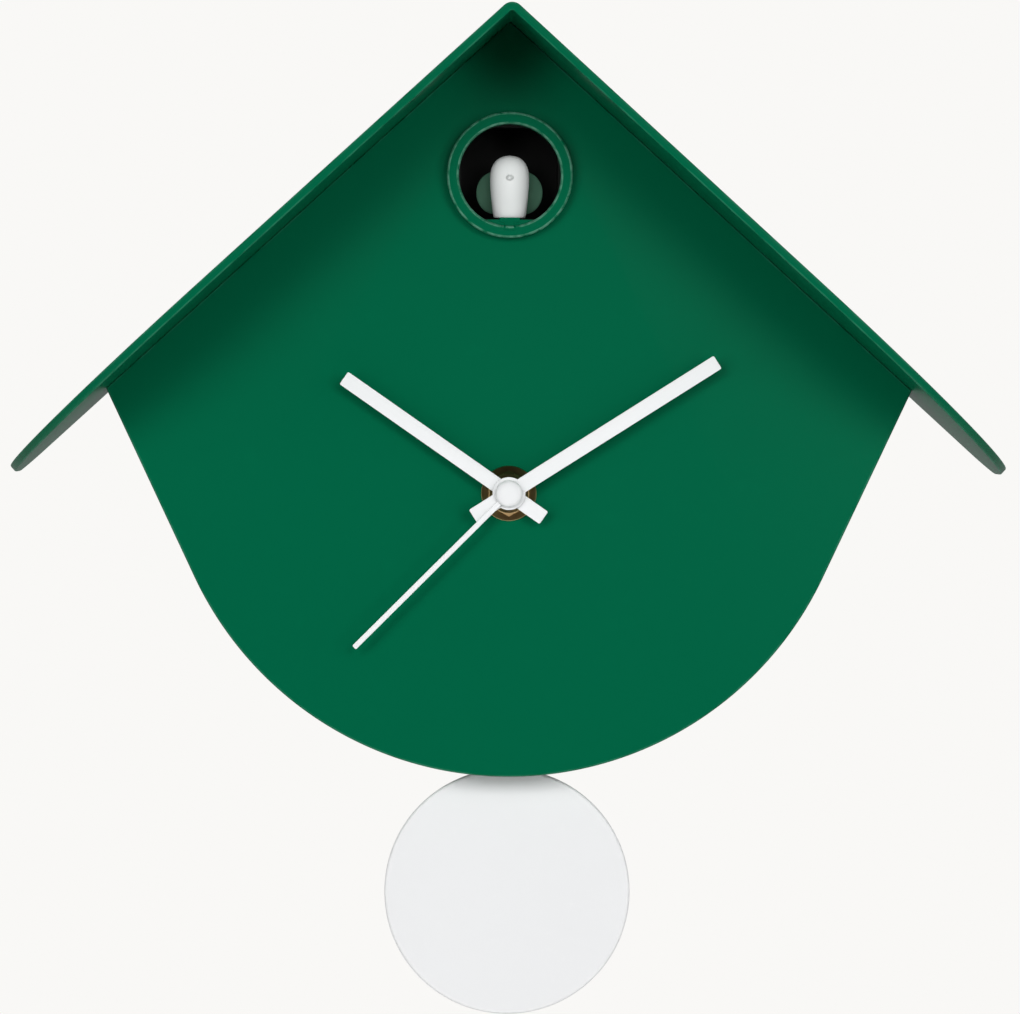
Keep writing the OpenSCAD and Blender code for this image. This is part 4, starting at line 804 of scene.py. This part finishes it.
def build_beak(low, high, breast_y):
    """A short blunt beak that points forward, a little flattened in height."""
    z = low.z + 0.635 * (high.z - low.z)
    root_y = breast_y + 0.6 * MM
    tip_y = low.y
    length = root_y - tip_y
    profile = [(0, -0.2 * MM), (1.5 * MM, -0.2 * MM), (1.15 * MM, 0.25 * length), (0.8 * MM, 0.48 * length),
               (0.45 * MM, 0.62 * length), (0, 0.7 * length)]
    beak = lathe("beak", profile, (0, 0), 20)
    beak.data.transform(Matrix.Translation((0, root_y, z)) @ Matrix.Diagonal((1, 1, 0.8, 1)))
    return outward(beak)


def build_wing(side):
    """A folded-out wing behind the body: a round cupped lobe with shallow feather steps."""
    low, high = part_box("bird_wings")
    wide, tall, thick = 5.5 * MM, 6.4 * MM, 1.5 * MM
    centre_x, centre_y, centre_z = high.x - wide, high.y - thick, low.z + tall
    around, across = 40, 14
    points, faces = [], []
    for layer in (-1, 1):
        for k in range(across + 1):
            reach = math.sin(rad(90) * k / across)
            bulge = math.sqrt(max(0.0, 1 - reach * reach))
            for i in range(around):
                a = 2 * math.pi * i / around
                x = wide * reach * math.cos(a)
                z = tall * reach * math.sin(a)
                feather = 0.12 * MM * bulge * math.sin(x / (0.55 * MM) - z / (1.9 * MM))
                y = layer * thick * bulge + 0.7 * MM * (x / wide) ** 2 * bulge + feather
                points.append((side * (centre_x + x), centre_y + y, centre_z + z))
    ring = around * (across + 1)
    for layer in (0, 1):
        for k in range(across):
            for i in range(around):
                j = (i + 1) % around
                a = layer * ring + k * around
                faces.append([a + i, a + j, a + around + j, a + around + i])
    wing = new_object("wing", mesh_from("wing", points, faces))
    work = bmesh.new()
    work.from_mesh(wing.data)
    bmesh.ops.remove_doubles(work, verts=work.verts, dist=0.01 * MM)
    bmesh.ops.recalc_face_normals(work, faces=work.faces)
    work.to_mesh(wing.data)
    work.free()
    return wing


def build_bird_wings():
    left, right = build_wing(-1), build_wing(1)
    both = unite(left, right)
    both.name = "bird_wing_pair"
    smooth(both, 60)
    finish(both, "bird_plastic", "bird", "bird_wings")
    # The wings get a dark grey-green instead of the bird's white: painted shade and painted green bounce
    # light on white plastic.
    both.data.materials[0] = moulded("wing_painted_shade", (0.07, 0.165, 0.11), 0.6, (0.09, 0.2, 0.14), grain=2600.0,
                                     cloud=180.0, bump=0.06, spread=0.04, specular=0.4)
    return both


def build_carriage():
    """The slide that carries the bird, with the rack under it.

    Its front is level with the front of the window's floor. The rack runs out through the ring's rim, so a
    tongue at its front carries the rim's own shape across the gap.
    """
    low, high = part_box("bird_carriage")
    front = floor_front() - SLIDE_GAP
    face_back = CASE_DEPTH - CASE_T
    tooth_root = high.z - 2.6 * MM
    slide = plate("slide", rectangle(-high.x, high.x, high.z - SLIDE_T, high.z), -high.y, front)
    stem = plate("stem", rectangle(-RACK_HALF, RACK_HALF, tooth_root, high.z - MM), -high.y, front)
    nose = plate("nose", rectangle(-RACK_HALF, RACK_HALF, low.z, high.z - MM), face_back - MM, front)
    tongue = plate("tongue", rectangle(-RACK_HALF, RACK_HALF, low.z, high.z - SLIDE_T), front - MM,
                   RING_FRONT + MM)
    combine(tongue, [turned_ring()], "INTERSECT")
    pitch = 0.5 * MM * math.pi
    gear_depth = -middle("bird_pinion").y
    first = math.ceil((-high.y + MM - gear_depth) / pitch)
    last = math.floor((face_back - MM - gear_depth) / pitch)
    teeth = [rack_tooth(gear_depth + (i + 0.5) * pitch, pitch, tooth_root + SLIDE_GAP, low.z + 0.1 * MM)
             for i in range(first, last)]
    unite(slide, stem, nose, tongue, *teeth)
    slide.name = "bird_slide"
    smooth(slide)
    return finish(slide, "ring_plastic", "bird", "bird_carriage")


def rack_tooth(depth, pitch, root, tip):
    """One tooth of the rack under the slide, as a tapered block across X."""
    half_w, half_root, half_tip = RACK_HALF, 0.36 * pitch, 0.14 * pitch
    profile = [(depth - half_root, root), (depth + half_root, root), (depth + half_tip, tip),
               (depth - half_tip, tip)]
    points = [(x, -d, z) for x in (-half_w, half_w) for d, z in profile]
    faces = [[0, 1, 2, 3], [7, 6, 5, 4]] + [[i, (i + 1) % 4, 4 + (i + 1) % 4, 4 + i] for i in range(4)]
    return outward(new_object("tooth", mesh_from("tooth", points, faces)))


# ---------------------------------------------------------------- hands and their stack

def hand_outline(length, tail, w, hub_r):
    """A straight hand with slightly rounded corners and a round hub, pointing up from (0, 0)."""
    corner = min(0.45 * MM, w / 4)
    half = w / 2
    hub_angle = math.degrees(math.asin(half / hub_r))
    outline = []
    outline += arc((half - corner, length - corner), corner, 0, 90, 5)
    outline += arc((corner - half, length - corner), corner, 90, 180, 5)
    outline += arc((0, 0), hub_r, 90 + hub_angle, 270 - hub_angle, 28)
    if tail > hub_r:
        outline += arc((corner - half, corner - tail), corner, 180, 270, 5)
        outline += arc((half - corner, corner - tail), corner, 270, 360, 5)
    outline += arc((0, 0), hub_r, hub_angle - 90, 90 - hub_angle, 28)
    return outline


def build_hand(name, node, body, length, tail, w, hub_r, bore, angle, back, front):
    hand = plate(name + "_blank", hand_outline(length, tail, w, hub_r), back, front)
    cut(hand, bar("bore", (0, 0), bore, back - MM, front + MM, 40))
    round_edges(hand, 0.16 * MM, 2, 50)
    turn = Matrix.Rotation(rad(angle), 4, "Y")
    hand.data.transform(Matrix.Translation((0, 0, HANDS_Z)) @ turn)
    hand.name = name
    smooth(hand, 40)
    return finish(hand, "hand_metal", body, node)


def build_hands():
    build_hand("hour_pointer", "hour_hand", "hours", 60.1 * MM, HAND_TAIL, HAND_W, HUB_R, 2.5 * MM,
               304.8, *depths("hour_hand"))
    build_hand("minute_pointer", "minute_hand", "minutes", 73.5 * MM, HAND_TAIL, HAND_W, HUB_R, 1.5 * MM,
               57.6, *depths("minute_hand"))
    build_hand("second_pointer", "second_hand", "seconds", 65.1 * MM, MM, 1.6 * MM, 2.4 * MM, 0.6 * MM,
               225, *depths("second_hand"))


def build_cap():
    """The domed cap: a short cylindrical skirt with a soft shoulder under a shallow dome."""
    back, front = depths("centre_cap")
    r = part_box("centre_cap")[1].x
    skirt = 0.7 * MM
    rise = front - back - skirt
    profile = [(0, back), (r - 0.15 * MM, back), (r, back + 0.15 * MM), (r, back + skirt)]
    steps = 14
    for i in range(1, steps):
        a = rad(90 * i / steps)
        profile.append((r * math.cos(a) ** 0.86, back + skirt + rise * math.sin(a)))
    profile.append((0, front))
    cap = lathe("axis_cap", profile, (0, HANDS_Z), 72)
    smooth(cap, 50)
    return finish(cap, "cap_plastic", "seconds", "centre_cap")


def build_washer():
    back, front = depths("brass_washer")
    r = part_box("brass_washer")[1].x
    bore, edge = 4.1 * MM, 0.15 * MM
    profile = [(bore, back), (r - edge, back), (r, back + edge), (r, front - edge), (r - edge, front),
               (bore + 1.5 * edge, front), (bore, front - 1.5 * edge)]
    washer = lathe("face_washer", profile, (0, HANDS_Z), 120)
    smooth(washer)
    return finish(washer, "brass", "case", "brass_washer")


def build_nut():
    """A hex nut whose corners are turned down on the front face."""
    low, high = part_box("hex_nut")
    back, front = -high.y, -low.y
    flats_half = high.x
    corner_r = flats_half / math.cos(rad(30))
    hexagon = [(corner_r * math.sin(rad(60 * i)), HANDS_Z + corner_r * math.cos(rad(60 * i)))
               for i in range(6)]
    nut = plate("nut_blank", hexagon, back, front)
    turned = lathe("turned_nut", [(0, back), (corner_r * 1.02, back), (corner_r * 1.02, front - 0.75 * MM),
                                  (flats_half * 0.97, front), (0, front)], (0, HANDS_Z), 96)
    combine(nut, [turned], "INTERSECT")
    bore = 4.0 * MM
    mouth = lathe("mouth", [(0, back - MM), (bore, back - MM), (bore, front - 0.3 * MM),
                            (bore + 0.5 * MM, front + 0.2 * MM), (0, front + 0.2 * MM)], (0, HANDS_Z), 64)
    cut(nut, mouth)
    nut.name = "face_nut"
    smooth(nut, 20)
    return finish(nut, "brass", "case", "hex_nut")


def build_bushing():
    """The bushing with its thread cut as rings, which end below the nut's front."""
    back, front = depths("threaded_bushing")
    r, flange_r, bore = 4.0 * MM, 5.6 * MM, 2.54 * MM
    pitch, deep = 0.5 * MM, 0.22 * MM
    profile = [(bore, back), (flange_r, back), (flange_r, back + MM), (r - deep, back + MM)]
    turns = int((front - 0.3 * MM - back - MM) / pitch)
    for i in range(turns):
        start = back + MM + i * pitch
        profile += [(r - deep, start + 0.05 * pitch), (r, start + 0.45 * pitch), (r, start + 0.55 * pitch)]
    profile += [(r - deep, front - 0.25 * MM), (r - deep - 0.2 * MM, front), (bore, front)]
    bushing = lathe("thread_bushing", profile, (0, HANDS_Z), 64)
    smooth(bushing, 25)
    return finish(bushing, "brass", "case", "threaded_bushing")


# ---------------------------------------------------------------- pendulum

def build_disc():
    """The pendulum's disc, with a soft rolled edge and the rod's clip on its rear face."""
    low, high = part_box("pendulum_disc")
    r = high.x
    centre_z = low.z + r
    front, thick, edge = -low.y, 3.5 * MM, 0.9 * MM
    back = front - thick
    profile = [(0, back)]
    profile += [(r - edge + edge * math.sin(rad(a)), back + edge - edge * math.cos(rad(a)))
                for a in range(0, 91, 15)]
    profile += [(r - edge + edge * math.cos(rad(a)), front - edge + edge * math.sin(rad(a)))
                for a in range(0, 91, 15)]
    profile.append((0, front))
    disc = lathe("disc_blank", profile, (0, centre_z), 192)
    clip_half, clip_tall = 4 * MM, 12 * MM
    clip_outline = rectangle(-clip_half, clip_half, centre_z - clip_tall, centre_z + clip_tall)
    clip = plate("clip", clip_outline, -high.y, back + 0.2 * MM)
    round_edges(clip, 0.5 * MM, 3)
    unite(disc, clip)
    rod_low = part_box("pendulum_rod")[0]
    rod_r = 1.2 * MM
    rod_y = middle("pendulum_rod").y
    channel = bar("channel", (0, 0), rod_r, 0, r + 40 * MM, 40)
    channel.data.transform(Matrix.Translation((0, rod_y, rod_low.z)) @ Matrix.Rotation(rad(-90), 4, "X"))
    cut(disc, outward(channel))
    disc.name = "pendulum_bob"
    smooth(disc)
    return finish(disc, "disc_plastic", "pendulum", "pendulum_disc")


# ---------------------------------------------------------------- CAD nodes that stay

BACK_NODES = ("back_cover", "battery_door", "set_knob")
BACK_EDGE = 0.25 * MM


def dress_kept_nodes():
    """Gives every CAD node the finish of its slot, and softens the edges of those on the back."""
    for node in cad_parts.values():
        for holder in node.material_slots:
            slot = holder.material.name.split(".")[0]
            holder.link = "OBJECT"
            holder.material = MATERIALS[slot]
    for name in BACK_NODES:
        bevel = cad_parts[name].modifiers.new("rounded", "BEVEL")
        bevel.width = BACK_EDGE
        bevel.segments = 2
        bevel.limit_method = "ANGLE"
        bevel.angle_limit = rad(40)
        bevel.harden_normals = True


# ---------------------------------------------------------------- studio

def soft_light(name, at, towards, size, watts, mirrored=True):
    """A softbox that the camera never sees. One that isn't mirrored doesn't show in the clock's gloss."""
    data = bpy.data.lights.new(name, "AREA")
    data.shape = "RECTANGLE"
    data.size, data.size_y = size
    data.energy = watts
    light = bpy.data.objects.new(name, data)
    light.location = at
    light.visible_glossy = mirrored
    light.visible_camera = False
    light.rotation_mode = "QUATERNION"
    light.rotation_quaternion = (Vector(towards) - Vector(at)).to_track_quat("-Z", "Y")
    scene.collection.objects.link(light)
    return light


STUDIO_FLOOR_R = 0.85
STUDIO_FLOOR_Z = -0.75


def build_floor():
    """A pale round table top well below the clock."""
    floor = bar("studio_floor", (0, 0), STUDIO_FLOOR_R, -0.01, 0, 96)
    floor.data.transform(Matrix.Translation((0, 0, STUDIO_FLOOR_Z)) @ Matrix.Rotation(rad(-90), 4, "X"))
    outward(floor)
    paint = moulded("studio_paint", (0.86, 0.86, 0.85), 0.6, (0.9, 0.9, 0.9), grain=300.0, cloud=3.0,
                    bump=0.1, spread=0.01)
    floor.data.materials.append(paint)


BACKDROP = (0.947, 0.939, 0.922, 1)
AROUND_BEHIND = (0.3, 0.3, 0.3, 1)
AROUND_IN_FRONT = (0.02, 0.02, 0.02, 1)


def build_world():
    """A pale backdrop on every side. What lights the clock is darker in front, where the viewer stands."""
    world = bpy.data.worlds.new("studio")
    scene.world = world
    world.use_nodes = True
    tree = world.node_tree
    back = tree.nodes["Background"]
    place = add(tree, "ShaderNodeTexCoord")
    part = add(tree, "ShaderNodeSeparateXYZ")
    spread = add(tree, "ShaderNodeMapRange", {"From Min": -0.4, "From Max": 0.3},
                 interpolation_type="SMOOTHSTEP")
    mix = add(tree, "ShaderNodeMix", data_type="RGBA")
    mix.inputs["A"].default_value = AROUND_IN_FRONT
    mix.inputs["B"].default_value = AROUND_BEHIND
    tree.links.new(place.outputs["Generated"], part.inputs["Vector"])
    tree.links.new(part.outputs["Y"], spread.inputs["Value"])
    tree.links.new(spread.outputs["Result"], mix.inputs["Factor"])
    seen = add(tree, "ShaderNodeLightPath")
    backdrop = add(tree, "ShaderNodeMix", data_type="RGBA")
    backdrop.inputs["B"].default_value = BACKDROP
    tree.links.new(mix.outputs["Result"], backdrop.inputs["A"])
    tree.links.new(seen.outputs["Is Camera Ray"], backdrop.inputs["Factor"])
    tree.links.new(backdrop.outputs["Result"], back.inputs["Color"])
    back.inputs["Strength"].default_value = 1.0


def build_studio():
    target = (0, -0.04, HANDS_Z + 0.02)
    soft_light("top_softbox", (0, -1.6, HANDS_Z + 0.6), target, (0.7, 0.4), 1.9, False)
    for side, name in ((-1, "left"), (1, "right")):
        soft_light(name + "_softbox", (side * 0.85, -1.5, HANDS_Z), target, (0.4, 0.8), 5.8, False)
        soft_light(name + "_high_fill", (side * 0.45, -1.6, HANDS_Z + 0.35), target, (0.4, 0.4), 6.6, False)
        soft_light(name + "_side_light", (side * 1.45, -0.9, HANDS_Z), target, (0.4, 0.8), 2.4)
        soft_light(name + "_back_light", (side * 1.0, 1.4, HANDS_Z + 0.6), target, (0.8, 0.8), 9, False)
    build_world()
    build_floor()
    scene.view_settings.view_transform = "Standard"


def build_camera():
    """A long lens a little above the hands' axis and left of the clock's centre plane."""
    data = bpy.data.cameras.new("view")
    data.sensor_width = 36
    data.lens = 243.4
    data.clip_start, data.clip_end = 0.05, 50
    camera = bpy.data.objects.new("view", data)
    yaw, pitch, roll = 0.505, -0.856, -0.189
    camera.location = (-17.9 * MM, -2105 * MM, HANDS_Z + 26.7 * MM)
    camera.rotation_euler = (rad(90 + pitch), rad(roll), rad(-yaw))
    scene.collection.objects.link(camera)
    scene.camera = camera


build_camera()
build_roof()
build_case()
build_window_ring()
build_bird_body()
build_bird_wings()
build_carriage()
build_hands()
build_cap()
build_washer()
build_nut()
build_bushing()
build_disc()
dress_kept_nodes()
build_studio()

bpy.context.view_layer.update()
